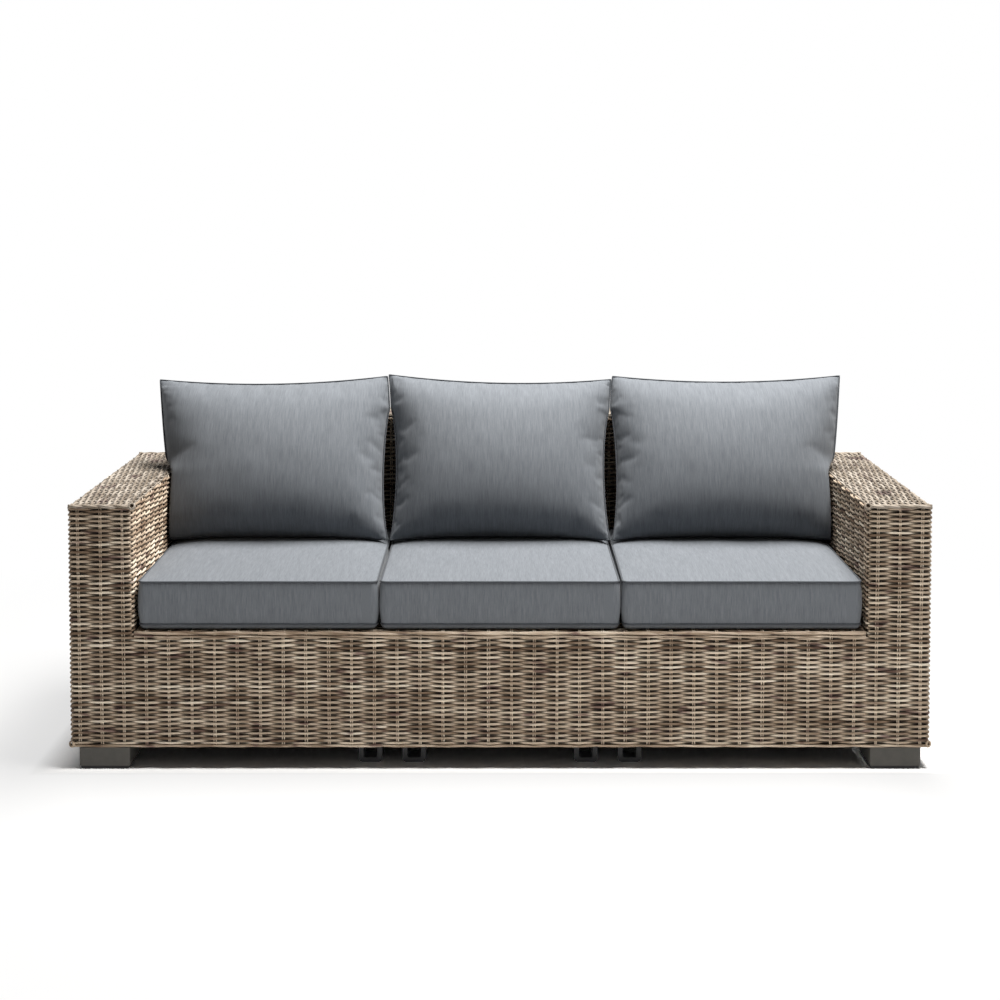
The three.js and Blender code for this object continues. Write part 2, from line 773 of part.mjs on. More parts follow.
function pillowPoint(u, v, face, fan) {
  const [left, right] = pillowSides((1 + v) / 2, fan);
  const halfUp = backCushionHeight / 2 - backCushionEndPull * (1 - u * u);
  const fullness = ((1 - u * u) * (1 - v * v)) ** backCushionFullnessShare;
  const swell = (backCushionThickness - backCushionEdge) / 2;
  const across = (left + right) / 2 + (u * (right - left)) / 2;
  const out = face * (backCushionEdge / 2 + swell * fullness);
  const up = v * halfUp;
  if (fan === 0) return [across, out, up];
  const fromFoot = up + backCushionHeight / 2;
  const height = fromFoot * Math.cos(backCushionRecline) - out * Math.sin(backCushionRecline);
  return [besideArm(across, height, fan), out, up];
}

function pillowGeometry(fan) {
  const points = [];
  const triangles = [];
  const columns = backCushionAcross;
  const rows = backCushionUp;
  const share = (i, count) => Math.sin((i / count - 0.5) * Math.PI);
  const index = (face, i, j) => face * (columns + 1) * (rows + 1) + j * (columns + 1) + i;
  for (const face of [-1, 1]) {
    for (let j = 0; j <= rows; j += 1) {
      for (let i = 0; i <= columns; i += 1) {
        points.push(pillowPoint(share(i, columns), share(j, rows), face, fan));
      }
    }
  }
  for (const face of [0, 1]) {
    for (let j = 0; j < rows; j += 1) {
      for (let i = 0; i < columns; i += 1) {
        const [a, b] = [index(face, i, j), index(face, i + 1, j)];
        const [c, d] = [index(face, i + 1, j + 1), index(face, i, j + 1)];
        if (face === 0) triangles.push([a, b, c], [a, c, d]);
        else triangles.push([a, c, b], [a, d, c]);
      }
    }
  }
  const rim = [];
  for (let i = 0; i < columns; i += 1) rim.push([i, 0]);
  for (let j = 0; j < rows; j += 1) rim.push([columns, j]);
  for (let i = columns; i > 0; i -= 1) rim.push([i, rows]);
  for (let j = rows; j > 0; j -= 1) rim.push([0, j]);
  rim.forEach(([i, j], n) => {
    const [k, l] = rim[(n + 1) % rim.length];
    const [a, b, c, d] = [index(0, i, j), index(0, k, l), index(1, k, l), index(1, i, j)];
    triangles.push([a, d, c], [a, c, b]);
  });
  return closedGeometry(points, triangles);
}

// Least upright distance between two solids, one above the other, over the points of both.
function uprightGap(upper, lower) {
  const caster = new THREE.Raycaster();
  const search = (points, target, direction) => {
    const mesh = new THREE.Mesh(target, new THREE.MeshBasicMaterial({ side: THREE.DoubleSide }));
    const position = points.attributes.position;
    let least = Infinity;
    for (let i = 0; i < position.count; i += 1) {
      caster.set(new THREE.Vector3().fromBufferAttribute(position, i), direction);
      const [hit] = caster.intersectObject(mesh);
      if (hit) least = Math.min(least, hit.distance);
    }
    return least;
  };
  const down = search(upper, lower, new THREE.Vector3(0, 0, -1));
  const up = search(lower, upper, new THREE.Vector3(0, 0, 1));
  return Math.min(down, up);
}

// Leans a pillow back, moves it up to the woven back, then lets it down on its seat cushion.
function settledPillow(fan, seat) {
  const pillow = pillowGeometry(fan);
  pillow.rotateX(-backCushionRecline);
  pillow.computeBoundingBox();
  pillow.translate(0, backInnerY - fitGap - pillow.boundingBox.max.y, backHeight);
  pillow.translate(0, 0, cushionRestGap - uprightGap(pillow, seat));
  return pillow;
}

function buildCushions() {
  const seat = seatCushionGeometry().translate(0, seatCentreY, seatCushionBase);
  for (const [place, x] of Object.entries(seatCushionPlaces)) {
    addPiece(`seat_cushion_${place}`, seat.clone().translate(x, 0, 0), fabricMaterial());
    const pillow = settledPillow(Math.sign(x), seat).translate(x, 0, 0);
    addPiece(`back_cushion_${place}`, pillow, fabricMaterial());
  }
}

buildLowFrame();
buildArmFrames();
buildSeatFrame();
buildBackFrame();
buildSkins();
buildCornerFeet();
buildLoopFeet();
buildCushions();

export default sofa;
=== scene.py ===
"""Three-seat rattan garden sofa: woven strands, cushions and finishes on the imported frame."""
import math

import bmesh
import bpy
import numpy as np
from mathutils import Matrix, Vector


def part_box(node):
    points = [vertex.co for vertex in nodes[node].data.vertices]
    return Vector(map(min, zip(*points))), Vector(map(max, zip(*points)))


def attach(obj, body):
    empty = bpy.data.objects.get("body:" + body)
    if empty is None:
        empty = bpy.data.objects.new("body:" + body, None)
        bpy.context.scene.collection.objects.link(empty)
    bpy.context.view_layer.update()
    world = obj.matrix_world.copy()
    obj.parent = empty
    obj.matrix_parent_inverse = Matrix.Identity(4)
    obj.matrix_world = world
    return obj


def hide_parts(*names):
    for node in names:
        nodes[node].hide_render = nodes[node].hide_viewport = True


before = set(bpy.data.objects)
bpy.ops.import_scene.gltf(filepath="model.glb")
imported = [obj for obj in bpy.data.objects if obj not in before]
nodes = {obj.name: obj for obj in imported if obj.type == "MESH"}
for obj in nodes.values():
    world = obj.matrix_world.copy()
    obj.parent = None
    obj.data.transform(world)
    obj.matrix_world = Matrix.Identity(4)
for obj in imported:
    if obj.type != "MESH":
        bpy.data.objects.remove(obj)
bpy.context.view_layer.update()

MM = 0.001
SIDES = ("left", "right")
PLACES = ("left", "middle", "right")
UP = np.array([0.0, 0.0, 1.0])
ANY_PHASE = 6.28
TINY = 1e-6

# Nodes of the woven walls, which the strands replace
APRON_WALLS = ("weave_front_apron",)
ARM_WALLS = ("weave_arm_left", "weave_arm_right")
BACK_WALLS = ("weave_back_shell", "weave_back_inner")
OUTER_WALLS = APRON_WALLS + ARM_WALLS + BACK_WALLS[:1]
WALLS = APRON_WALLS + ARM_WALLS + BACK_WALLS

# Nodes of the frame that keep their CAD shapes, with the light and dark shades and roughness of each finish
TUBE_NODES = ("arm_post", "arm_top_frame", "back_top_frame", "back_upright", "low_rail", "low_joist",
              "seat_rail", "seat_bar")
KEPT_FINISHES = (
    ("powder_coat", TUBE_NODES, (0.056, 0.056, 0.054), (0.042, 0.042, 0.040), 0.5),
    ("foot", ("foot_front", "foot_back"), (0.088, 0.082, 0.071), (0.070, 0.065, 0.056), 0.55),
    ("glide", ("foot_glide",), (0.016, 0.016, 0.016), (0.009, 0.009, 0.009), 0.75),
    ("loop_foot", ("loop_foot",), (0.020, 0.020, 0.021), (0.012, 0.012, 0.013), 0.5),
)
MOULD_STRETCH = (24.0, 24.0, 24.0)
GRAIN_STRETCH = (900.0, 900.0, 900.0)
GRAIN_DEPTH = 0.2 * MM

# The photograph's camera: distance in front of the sofa, height, pitch, focal length and frame shift
IMAGE_SIZE = 1000
SENSOR_WIDTH = 36.0
CAMERA_DISTANCE = 4.3546
CAMERA_HEIGHT = 1.4851
CAMERA_PITCH = math.radians(3.117)
CAMERA_FOCAL_PIXELS = 1734.48
CAMERA_SHIFT_PIXELS = -218.43
CAMERA_NEAR = 0.1
CAMERA_FAR = 100.0

# Floor and light: shades where the floor is lit and where it is seen, the seen floor's changes in shares of
# the sofa's half width and depth, and its fade to white in metres
FLOOR_REACH = 30.0
FLOOR_SHADE = 0.88
FLOOR_SEEN_SHADE = 0.62
# Painted light: where the camera sees it, the floor under the sofa is brighter than beside it
FLOOR_UNDER_PAINTED_LIGHT = 2.1
# Partly backdrop white, partly painted light: beside the sofa the seen floor is mixed this far towards white,
# which lightens the sofa's shadows there
FLOOR_LIFT = 0.72
FLOOR_LIFT_START = 0.97
FLOOR_LIFT_END = 1.09
FLOOR_SPREAD_SHARE = 0.25
FLOOR_UNDER_END = 0.24
FLOOR_SEEN_START = 0.27
FLOOR_FADE_START = 1.5
FLOOR_FADE_END = 2.6
SKY_STRENGTH = 0.03
KEY_POWER = 655
KEY_PLACE = (0.95, 0.35, 5.0)
KEY_TARGET = (0.1, 0.05, 0.4)
KEY_SIZE = (4.2, 1.6)
KEY_COLOUR = (1.0, 0.985, 0.96)

# Weave sizes: rows and strands, stakes, drift, and the near-black sheet of painted shade behind
ROW_PITCH = 6.15 * MM
ARM_STAKES = 3
SEAT_STAKES = 32
SIDE_STAKES = 14
INNER_STAKES = 12
STRAND_RADIUS = 2.95 * MM
STRAND_SIDES = 6
OVER_DEPTH = 3.1 * MM
UNDER_DEPTH = 8.7 * MM
STAKE_RADIUS = 1.7 * MM
STAKE_DEPTH = 5.6 * MM
STAKE_SPREAD = 2.3 * MM
STAKE_WANDER = 0.7 * MM
STAKE_WANDER_RATE = 9
STAKE_SAMPLING = 40 * MM
ROW_DRIFT = 1.1 * MM
ROW_WANDER = 0.9 * MM
DRIFT_STRETCH = 0.35
DRIFT_WAVE = 55 * MM
TURN_SHARPNESS = 0.8
SHADE_SHEET_DEPTH = 11.3 * MM
SHADE_SHEET_THICKNESS = 0.6 * MM
CORNER_RADIUS = 15.0 * MM
NOTCH_RADIUS = 7.0 * MM
SAMPLES_PER_STAKE = 5
ARC_SAMPLES = 5
CLOSEST_SAMPLES = 0.012
STRANDS_PIECE_LIMIT = 190000
ROW_RUN_STAKES = 12
LEVEL_RUN_STAKES = 6

# How far below each top the walls change to the next plan, and their rows, painted shade sheets and stakes
# end
APRON_CHANGE = 12 * MM
ARM_ROWS_END = 9 * MM
BACK_ROWS_END = 11 * MM
SHADE_SHEET_END = 8 * MM
SHADE_SHEET_START = 3 * MM
APRON_STAKES_END = 4 * MM
SLACK = 1 * MM

# Bake coordinates of the strands: shortest run, the girth that sets the number of runs, and their margins
BAKE_RUN = 0.25
BAKE_GIRTH = 0.019
BAKE_SPARE_SHARE = 1.15
BAKE_RUN_START, BAKE_RUN_SHARE = 0.004, 0.992
BAKE_STRIP_START, BAKE_STRIP_SHARE = 0.06, 0.88
STRAND_OFFSETS = 40

# Level weaves: a profile is the strands' radius and how deep they lie over a stake and under it
CAP_BORDER = 3.4 * MM
CAP_EDGE_ROUND = 9.0 * MM
CAP_EDGE_DROP = 2.6 * MM
CAP_PITCH = 7.5 * MM
CAP_STAKES = 16
CAP_PROFILE = (2.95 * MM, 3.1 * MM, 8.2 * MM)
CAP_WANDER = 0.7 * MM
CAP_STAKE_SAMPLING = 30 * MM
CAP_SEEDS = (3000, 3500)
BACK_CAP_SEEDS = (4000, 4200)
DECK_PITCH = 12.3 * MM
DECK_PROFILE = (2.4 * MM, 2.5 * MM, 5.4 * MM)
DECK_SHADE_SHEET_DEPTH = 7.3 * MM
DECK_SEEDS = (4500, 4700)

# Rolled borders: radius of each cane and length of a twist, and for the apron first the drop from its top
BORDER_RADIUS = 4.6 * MM
CAP_ROLL = (4.1 * MM, 100 * MM)
BACK_CAP_ROLL = (3.0 * MM, 160 * MM)
FOOT_ROLL = (2.9 * MM, 220 * MM)
APRON_ROLLS = ((4.4 * MM, (3.2 * MM, 260 * MM)), (12.6 * MM, (2.6 * MM, 260 * MM)))
LINE_SPACING = 12 * MM
ROLL_SPACING = 6 * MM
TONES_PER_METRE = 5

# Curls of cane at the corners: ring and cane radii, and how far each stands from its corner
CURL_TURNS = 1.6
CURL_SAMPLES = 14
CURL_CLOSING_SHARE = 0.25
CURL_SIDES = 16
# Depth and radius of the dark disc of painted shade in each curl
CURL_SHADE_DISC_DEPTH = 2 * MM
CURL_SHADE_DISC_RADIUS = 8.0 * MM
INNER_CURL = (8.4 * MM, 2.4 * MM)
INNER_CURL_OFFSET = (4 * MM, 7 * MM, 2 * MM)
OUTER_CURL = (7.5 * MM, 2.6 * MM)
OUTER_CURL_OFFSET = (5 * MM, 6 * MM, 1 * MM)
FOOT_CURL = (7.5 * MM, 2.7 * MM)
FOOT_CURL_OFFSET = (7 * MM, 6 * MM, 9 * MM)

# Cane finish: places per metre along each axis of its noises, then shades from sunk and dark to bright
MOTTLE_STRETCH = (9.0, 0.5, 0.5)
FIBRE_STRETCH = (60.0, 9.0, 9.0)
PATCH_STRETCH = (9.0, 9.0, 9.0)
STAIN_STRETCH = (14.0, 14.0, 45.0)
FIBRE_DEPTH = 0.4 * MM
CANE_SHADES = (
    (0.0, (0.190, 0.125, 0.080)),
    (0.3, (0.370, 0.280, 0.200)),
    (0.6, (0.560, 0.455, 0.350)),
    (0.85, (0.740, 0.630, 0.500)),
    (1.0, (0.860, 0.770, 0.640)),
)
# Painted shade: a darker, slightly greyer copy of the cane shades for the level tops; the darkening offsets
# the light that falls on them from above
SHADED_CAP_SHADES = (
    (0.0, (0.125, 0.098, 0.073)),
    (0.3, (0.235, 0.194, 0.151)),
    (0.6, (0.345, 0.299, 0.249)),
    (1.0, (0.460, 0.414, 0.358)),
)
# Painted shade: the near-black sheet behind the weaves stands for the shade inside them
SHADE_SHEET_COLOUR = (0.012, 0.009, 0.007)
# Painted shade: the dark disc in each curl stands for the shade in its hollow
CURL_SHADE_COLOUR = (0.060, 0.043, 0.030)

# Seat cushion sizes; the top's shares are how far out from its middle each ring stands
SEAT_CROWN = 20 * MM
SEAT_CROWN_RISE_ACROSS = 6.0
SEAT_CROWN_RISE_ALONG = 2.2
SEAT_LOWER_SEAM = 13 * MM
SEAT_SIDE_PULL = 3 * MM
SEAT_BOTTOM_INSET = 10 * MM
SEAT_CORNER_RADIUS = 20 * MM
SEAT_BULGE = 1.0 * MM
SEAT_SEAM_BOW = 1.5 * MM
SEAT_PIPING_RADIUS = 2.6 * MM
SEAT_RIPPLE = 0.5 * MM
SEAT_RIPPLE_WAVE = 110 * MM
SEAT_PUCKER_WAVE = 35 * MM
SEAT_SEAM_PINCH = 1.2 * MM
SEAT_TOP_PUCKER = 0.9 * MM
SEAT_TOP_SOFTNESS = 0.9 * MM
SEAT_TOP_WAVE = 230 * MM
SEAT_TOP_DIP = 0.8 * MM
SEAT_WALL_RINGS = 16
SEAT_BOTTOM_RINGS = 5
SEAT_SIDE_STEPS = 26
SEAT_CORNER_STEPS = 7
SEAT_CROWN_SPREAD = 1.005
SEAT_TOP_SHARES = (0.985, 0.965, 0.93, 0.88, 0.82, 0.75, 0.67, 0.58, 0.48, 0.38, 0.28, 0.18, 0.08)

# Back cushion sizes; the corner lifts are of the left and right upper corners, by place from left to right
BACK_FOOT_FLARE = 1.7 * MM
BACK_TOP_FLARE = 17 * MM
BACK_MIDDLE_RISE = 4
BACK_GAP = 6 * MM
BACK_BOW_TOP = 0.79
BACK_BOW_SHARPNESS = 0.65
BACK_ARM_GAP = 2 * MM
BACK_PRESSED_OVERHANG = 42 * MM
BACK_SHOULDER_OVERHANG = 20 * MM
BACK_SHOULDER_RISE = (0.36, 0.50)
BACK_TOP_OVERHANG = 65 * MM
BACK_TOP_SPREAD = 0.8
BACK_ARM_LIFT = 3 * MM
BACK_ARM_SLOPE = 1.4
BACK_HEIGHT = 490 * MM
BACK_THICKNESS = 286 * MM
BACK_SAG = 0.16
BACK_FOOT_SETTLE = 0.45
BACK_SIDE_PULL = 14 * MM
BACK_INNER_PULL = 19 * MM
BACK_TOP_PULL = 19 * MM
BACK_CORNER_LIFTS = {-1: (-8 * MM, 3 * MM), 0: (9 * MM, -6 * MM), 1: (3 * MM, 5 * MM)}
BACK_FOOT_PULL = 8 * MM
BACK_FULLNESS = 0.52
BACK_START_SWELL = 0.94
BACK_RECLINE = math.radians(28)
BACK_COLUMNS = 84
BACK_ROWS = 68
BACK_PRESSURE = 4.0
BACK_GROWTH = 0.015
BACK_MOST_MOVE = 26 * MM
BACK_CLOTH_STEPS = 20
BACK_CLOTH_OFFSET = 3.0
BACK_PIPING_RADIUS = 2.5 * MM
PINCH_WAVE = 22 * MM
PINCH_LENGTH = 12 * MM
PINCH_DEPTH = 1.1 * MM
SEAM_SWELL = 0.1 * MM
WRINKLE_EASING_ROUNDS = 4
BACK_RIPPLE = 0.7 * MM
BACK_RIPPLE_WAVE = 90 * MM
EVEN_SHARE = 0.35
ROUND_SHARE = 0.65
SEAM_CLEARANCE = 3.2 * MM
SETTLE_EASE = 6 * MM

# Cord sides, then fabric shades, light and dark, and threads in places per metre across and up the cloth
PIPING_SIDES = 8
FABRIC_SHADES = ((0.180, 0.194, 0.213), (0.112, 0.123, 0.138))
PIPING_SHADES = ((0.070, 0.077, 0.087), (0.042, 0.047, 0.054))
SLUB_STRETCH = (480.0, 26.0, 1.0)
BROAD_STRETCH = (90.0, 9.0, 1.0)
THREAD_STRETCH = (1500.0, 160.0, 1.0)
THREAD_DEPTH = 0.5 * MM

# Places read from the frame
apron_low, apron_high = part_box("weave_front_apron")
arm_top_low, arm_top_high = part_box("weave_arm_top_right")
back_top_low, back_top_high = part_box("weave_back_top")
deck_low, deck_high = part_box("weave_seat_deck")
HALF_WIDTH = arm_top_high.x
HALF_DEPTH = arm_top_high.y
ARM_INNER = arm_top_low.x
BACK_INNER = back_top_low.y
SKIN_BOTTOM = apron_low.z
APRON_TOP = apron_high.z
ARM_TOP = arm_top_high.z
BACK_TOP = back_top_high.z
DECK_TOP = deck_high.z


def rng(seed):
    """A seeded random source of its own for each use."""
    return np.random.default_rng(seed)


def unit(vectors):
    return vectors / np.linalg.norm(vectors, axis=-1, keepdims=True)


def place_piece(obj, slot, body, *replaced):
    """Attaches a piece to the body that it rides on and hides the CAD nodes that it replaces; slot is not
    used.
    """
    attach(obj, body)
    if replaced:
        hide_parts(*replaced)


# Mesh making

def add_object(name, data):
    obj = bpy.data.objects.new(name, data)
    bpy.context.scene.collection.objects.link(obj)
    return obj


def plain_object(name, verts, faces):
    """New mesh object whose faces may have any number of corners."""
    mesh = bpy.data.meshes.new(name)
    mesh.from_pydata(verts, [], faces)
    return add_object(name, mesh)


def make_object(name, verts, faces, smooth=True):
    """New mesh object from an array of points and an array of quads."""
    verts = np.asarray(verts, np.float32)
    faces = np.asarray(faces, np.int32)
    mesh = bpy.data.meshes.new(name)
    mesh.vertices.add(len(verts))
    mesh.vertices.foreach_set("co", verts.ravel())
    corners = faces.shape[1]
    mesh.loops.add(faces.size)
    mesh.loops.foreach_set("vertex_index", faces.ravel())
    mesh.polygons.add(len(faces))
    mesh.polygons.foreach_set("loop_start", np.arange(0, faces.size, corners, dtype=np.int32))
    mesh.update(calc_edges=True)
    mesh.polygons.foreach_set("use_smooth", np.full(len(faces), smooth))
    mesh.validate()
    return add_object(name, mesh)


def ring_quads(rings, count, wrap):
    """Quads between closed rings of so many points each; wrap joins the last ring to the first as well."""
    ring = np.arange(rings if wrap else rings - 1)[:, None]
    point = np.arange(count)[None, :]
    first, second = ring * count, (ring + 1) % rings * count
    after = (point + 1) % count
    return np.stack([first + point, first + after, second + after, second + point], axis=-1).reshape(-1, 4)


def add_attribute(obj, name, kind, values):
    """Stores one value or vector per point."""
    layer = obj.data.attributes.new(name, kind, "POINT")
    key = "vector" if kind == "FLOAT_VECTOR" else "value"
    layer.data.foreach_set(key, np.asarray(values, np.float32).ravel())


def smooth_noise(points, source, wave, count=24):
    """Seeded sum of long soft waves over points."""
    points = np.asarray(points)
    total = np.zeros(len(points))
    for _ in range(count):
        way = source.normal(size=points.shape[1])
        way *= 2 * math.pi / wave * source.uniform(0.6, 1.5) / np.linalg.norm(way)
        total += np.cos(points @ way + source.uniform(0, 2 * math.pi))
    return total / math.sqrt(count)


class Tubes:
    """Collects tubes along sampled lines, with the facts that the strand finish needs, into one mesh."""

    def __init__(self):
        self.verts, self.faces, self.strips = [], [], []
        self.coords, self.tones, self.depths = [], [], []
        self.count = 0

    def add(self, centre, normal, side, radius_n, radius_s, tone, depth, closed=False):
        """Adds one tube; radii, tone and depth are one value or one for each sample of the centre line."""
        samples, sides = len(centre), STRAND_SIDES
        values = [np.broadcast_to(value, samples) for value in (radius_n, radius_s, tone, depth)]
        radius_n, radius_s, tone, depth = values
        turn = np.arange(sides) * (2 * math.pi / sides)
        ring = (
            centre[:, None, :]
            + (normal * radius_n[:, None])[:, None, :] * np.cos(turn)[None, :, None]
            + (side * radius_s[:, None])[:, None, :] * np.sin(turn)[None, :, None]
        )
        step = np.linalg.norm(np.diff(centre, axis=0, append=centre[:1]), axis=1)
        along = np.concatenate([[0.0], np.cumsum(step[:-1])])
        spans = samples if closed else samples - 1
        self.verts.append(ring.reshape(-1, 3))
        self.faces.append(ring_quads(samples, sides, closed) + self.count)
        offset = rng(self.count + 17).uniform(0, STRAND_OFFSETS)
        coords = ((along + offset)[:, None], np.cos(turn) * 0.5, np.sin(turn) * 0.5)
        coords = [np.broadcast_to(value, (samples, sides)) for value in coords]
        self.coords.append(np.stack(coords, axis=-1).reshape(-1, 3))
        self.tones.append(np.repeat(tone, sides))
        self.depths.append(np.repeat(depth, sides))
        self.strips.append((spans, sides, float(along[-1] + step[-1] if closed else along[-1])))
        self.count += samples * sides
        if not closed:
            self.cap(self.count - samples * sides, sides, True)
            self.cap(self.count - sides, sides, False)

    def cap(self, start, sides, first):
        """Closes a tube's end with a fan of quads across an even ring."""
        for k in range(sides // 2 - 1):
            quad = [start + k, start + k + 1, start + sides - 2 - k, start + sides - 1 - k]
            self.faces.append(np.array([quad if not first else quad[::-1]]))
            self.strips.append(None)

    def strip_layout(self):
        """Bake coordinates: each tube is cut into runs, and the runs are stacked as level strips."""
        total = sum(s[2] for s in self.strips if s)
        run = max(BAKE_RUN, math.sqrt(total * BAKE_GIRTH) * BAKE_SPARE_SHARE)
        rows = sum(max(1, round(s[2] / run)) for s in self.strips if s) + 1
        height = 1.0 / rows
        row = 0
        out = []
        for strip in self.strips:
            if strip is None:
                low, high = (rows - 1) * height, (rows - 0.5) * height
                out.append(np.array([[[0.01, low], [0.02, low], [0.02, high], [0.01, high]]]))
                continue
            spans, sides, length = strip
            cuts = max(1, round(length / run))
            i = np.arange(spans)
            part = np.minimum(cuts - 1, i * cuts // spans)
            first = np.ceil(part * spans / cuts)
            last = np.ceil((part + 1) * spans / cuts)
            u0 = BAKE_RUN_START + BAKE_RUN_SHARE * (i - first) / (last - first)
            u1 = BAKE_RUN_START + BAKE_RUN_SHARE * (i + 1 - first) / (last - first)
            inside = BAKE_STRIP_START + BAKE_STRIP_SHARE * np.arange(sides + 1)[None, :] / sides
            v = (row + part)[:, None] * height + height * inside
            quad = np.zeros((spans, sides, 4, 2))
            near, far = v[:, :-1], v[:, 1:]
            for corner, (end, edge) in enumerate(((u0, near), (u0, far), (u1, far), (u1, near))):
                quad[:, :, corner, 0] = end[:, None]
                quad[:, :, corner, 1] = edge
            out.append(quad.reshape(-1, 4, 2))
            row += cuts
        return np.concatenate(out).reshape(-1, 2)

    def build(self, name, material):
        obj = make_object(name, np.concatenate(self.verts), np.concatenate(self.faces))
        add_attribute(obj, "strand", "FLOAT_VECTOR", np.concatenate(self.coords))
        add_attribute(obj, "tone", "FLOAT", np.concatenate(self.tones))
        # outward runs from deep behind a stake to far out; the cane finishes paint shade where it is low
        add_attribute(obj, "outward", "FLOAT", np.concatenate(self.depths))
        layer = obj.data.uv_layers.new(name="OFBake")
        layer.data.foreach_set("uv", self.strip_layout().astype(np.float32).ravel())
        obj.data.materials.append(material)
        return obj


# Paths round the sofa

class PlanPath:
    """Closed plan path with the outside on its right, rounded corners and stakes numbered along it."""

    def __init__(self, corners, stake_counts):
        corners = np.array(corners, float)
        sides = np.roll(corners, -1, axis=0) - corners
        lengths = np.linalg.norm(sides, axis=1)
        ways = sides / lengths[:, None]
        outward = np.column_stack([ways[:, 1], -ways[:, 0]])
        before = np.roll(ways, 1, axis=0)
        turns = np.sign(np.round(before[:, 0] * ways[:, 1] - before[:, 1] * ways[:, 0], 9))
        radii = np.select([turns > 0, turns < 0], [CORNER_RADIUS, NOTCH_RADIUS], 0.0)
        points, normals, stakes = [], [], []
        number = 0.0
        for i, count in enumerate(stake_counts):
            k = (i + 1) % len(corners)
            for distance in (radii[i], lengths[i] - radii[k]):
                points.append(corners[i] + ways[i] * distance)
                normals.append(outward[i])
                stakes.append(number + count * distance / lengths[i])
            number += count
            if turns[k] == 0:
                continue
            centre = points[-1] - outward[i] * radii[k] * turns[k]
            begin = stakes[-1]
            end = number + stake_counts[k] * radii[k] / lengths[k]
            for step in range(1, ARC_SAMPLES):
                t = step / ARC_SAMPLES
                normal = outward[i] * math.cos(t * math.pi / 2) + outward[k] * math.sin(t * math.pi / 2)
                points.append(centre + normal * radii[k] * turns[k])
                normals.append(normal)
                stakes.append(begin + (end - begin) * t)
        self.total = number
        self.points = np.array(points + points[:1])
        self.normals = np.array(normals + normals[:1])
        self.stakes = np.array(stakes + [stakes[0] + number])

    def at(self, stake):
        """Point and outward normal at a stake number."""
        stake = np.asarray(stake) % self.total
        stake = np.where(stake < self.stakes[0], stake + self.total, stake)
        point = np.stack([np.interp(stake, self.stakes, self.points[:, n]) for n in (0, 1)], axis=-1)
        normal = np.stack([np.interp(stake, self.stakes, self.normals[:, n]) for n in (0, 1)], axis=-1)
        return point, unit(normal)

    def samples(self):
        """Stake numbers to sample a strand at: even along the walls, and closer round each corner."""
        even = np.arange(0, self.total, 1.0 / SAMPLES_PER_STAKE)
        extra = self.stakes % self.total
        every = np.unique(np.round(np.concatenate([even, extra]), 4))
        keep = np.concatenate([[True], np.diff(every) > CLOSEST_SAMPLES])
        return every[keep]


def base_path():
    w, d, a = HALF_WIDTH, HALF_DEPTH, ARM_INNER
    corners = [(-w, -d), (-a, -d), (a, -d), (w, -d), (w, d), (a, d), (-a, d), (-w, d)]
    return PlanPath(corners, [ARM_STAKES, SEAT_STAKES, ARM_STAKES, SIDE_STAKES] * 2)


def arm_level_path():
    w, d, a, b = HALF_WIDTH, HALF_DEPTH, ARM_INNER, BACK_INNER
    corners = [(-w, -d), (-a, -d), (-a, b), (a, b), (a, -d), (w, -d), (w, d), (a, d), (-a, d), (-w, d)]
    counts = [ARM_STAKES, INNER_STAKES, SEAT_STAKES, INNER_STAKES, ARM_STAKES, SIDE_STAKES]
    return PlanPath(corners, counts + [ARM_STAKES, SEAT_STAKES, ARM_STAKES, SIDE_STAKES])


def back_level_path():
    d, a, b = HALF_DEPTH, ARM_INNER, BACK_INNER
    return PlanPath([(-a, b), (a, b), (a, d), (-a, d)], [SEAT_STAKES, ARM_STAKES] * 2)


def strand_tones(count, source, runs):
    """Tone along a row: a few lengths of cane, each with a tone of its own."""
    cuts = np.sort(source.uniform(0, count, runs))
    values = source.beta(2.2, 2.0, runs + 1)
    return values[np.searchsorted(cuts, np.arange(count))]


def wander(count, source, waves):
    """Slow closed drift between about -1 and 1."""
    t = np.arange(count) / count * 2 * math.pi
    swings = (source.normal() / (n * 0.5 + 1) * np.sin(n * t + source.uniform(0, ANY_PHASE)) for n in waves)
    return sum(swings) * 0.6


def row_drift(point, height):
    """Rise and fall that neighbouring rows share, so that they bunch in places and part in others."""
    place = np.column_stack([point * DRIFT_STRETCH, np.full(len(point), height)])
    return ROW_DRIFT * smooth_noise(place, rng(77), DRIFT_WAVE, 16)


def stake_wave(stake, row):
    """How far out a strand swings: 1 where it lies over a stake and -1 where it lies under."""
    wave = np.cos(math.pi * (stake - 0.5 + row))
    return np.sign(wave) * np.abs(wave) ** TURN_SHARPNESS


def shade_sheet(path, low, high, name):
    """Painted shade: a thin near-black sheet behind the strands, which stands for the shade inside the walls
    and closes the gaps between them.
    """
    stake = path.samples()
    point, normal = path.at(stake)
    count = len(stake)
    front = point - normal * SHADE_SHEET_DEPTH
    back = front - normal * SHADE_SHEET_THICKNESS
    rings = [(front, low), (front, high), (back, high), (back, low)]
    verts = np.concatenate([np.column_stack([plan, np.full(count, height)]) for plan, height in rings])
    obj = make_object(name, verts, ring_quads(len(rings), count, True), smooth=False)
    obj.data.materials.append(shade_sheet_finish)
    return obj


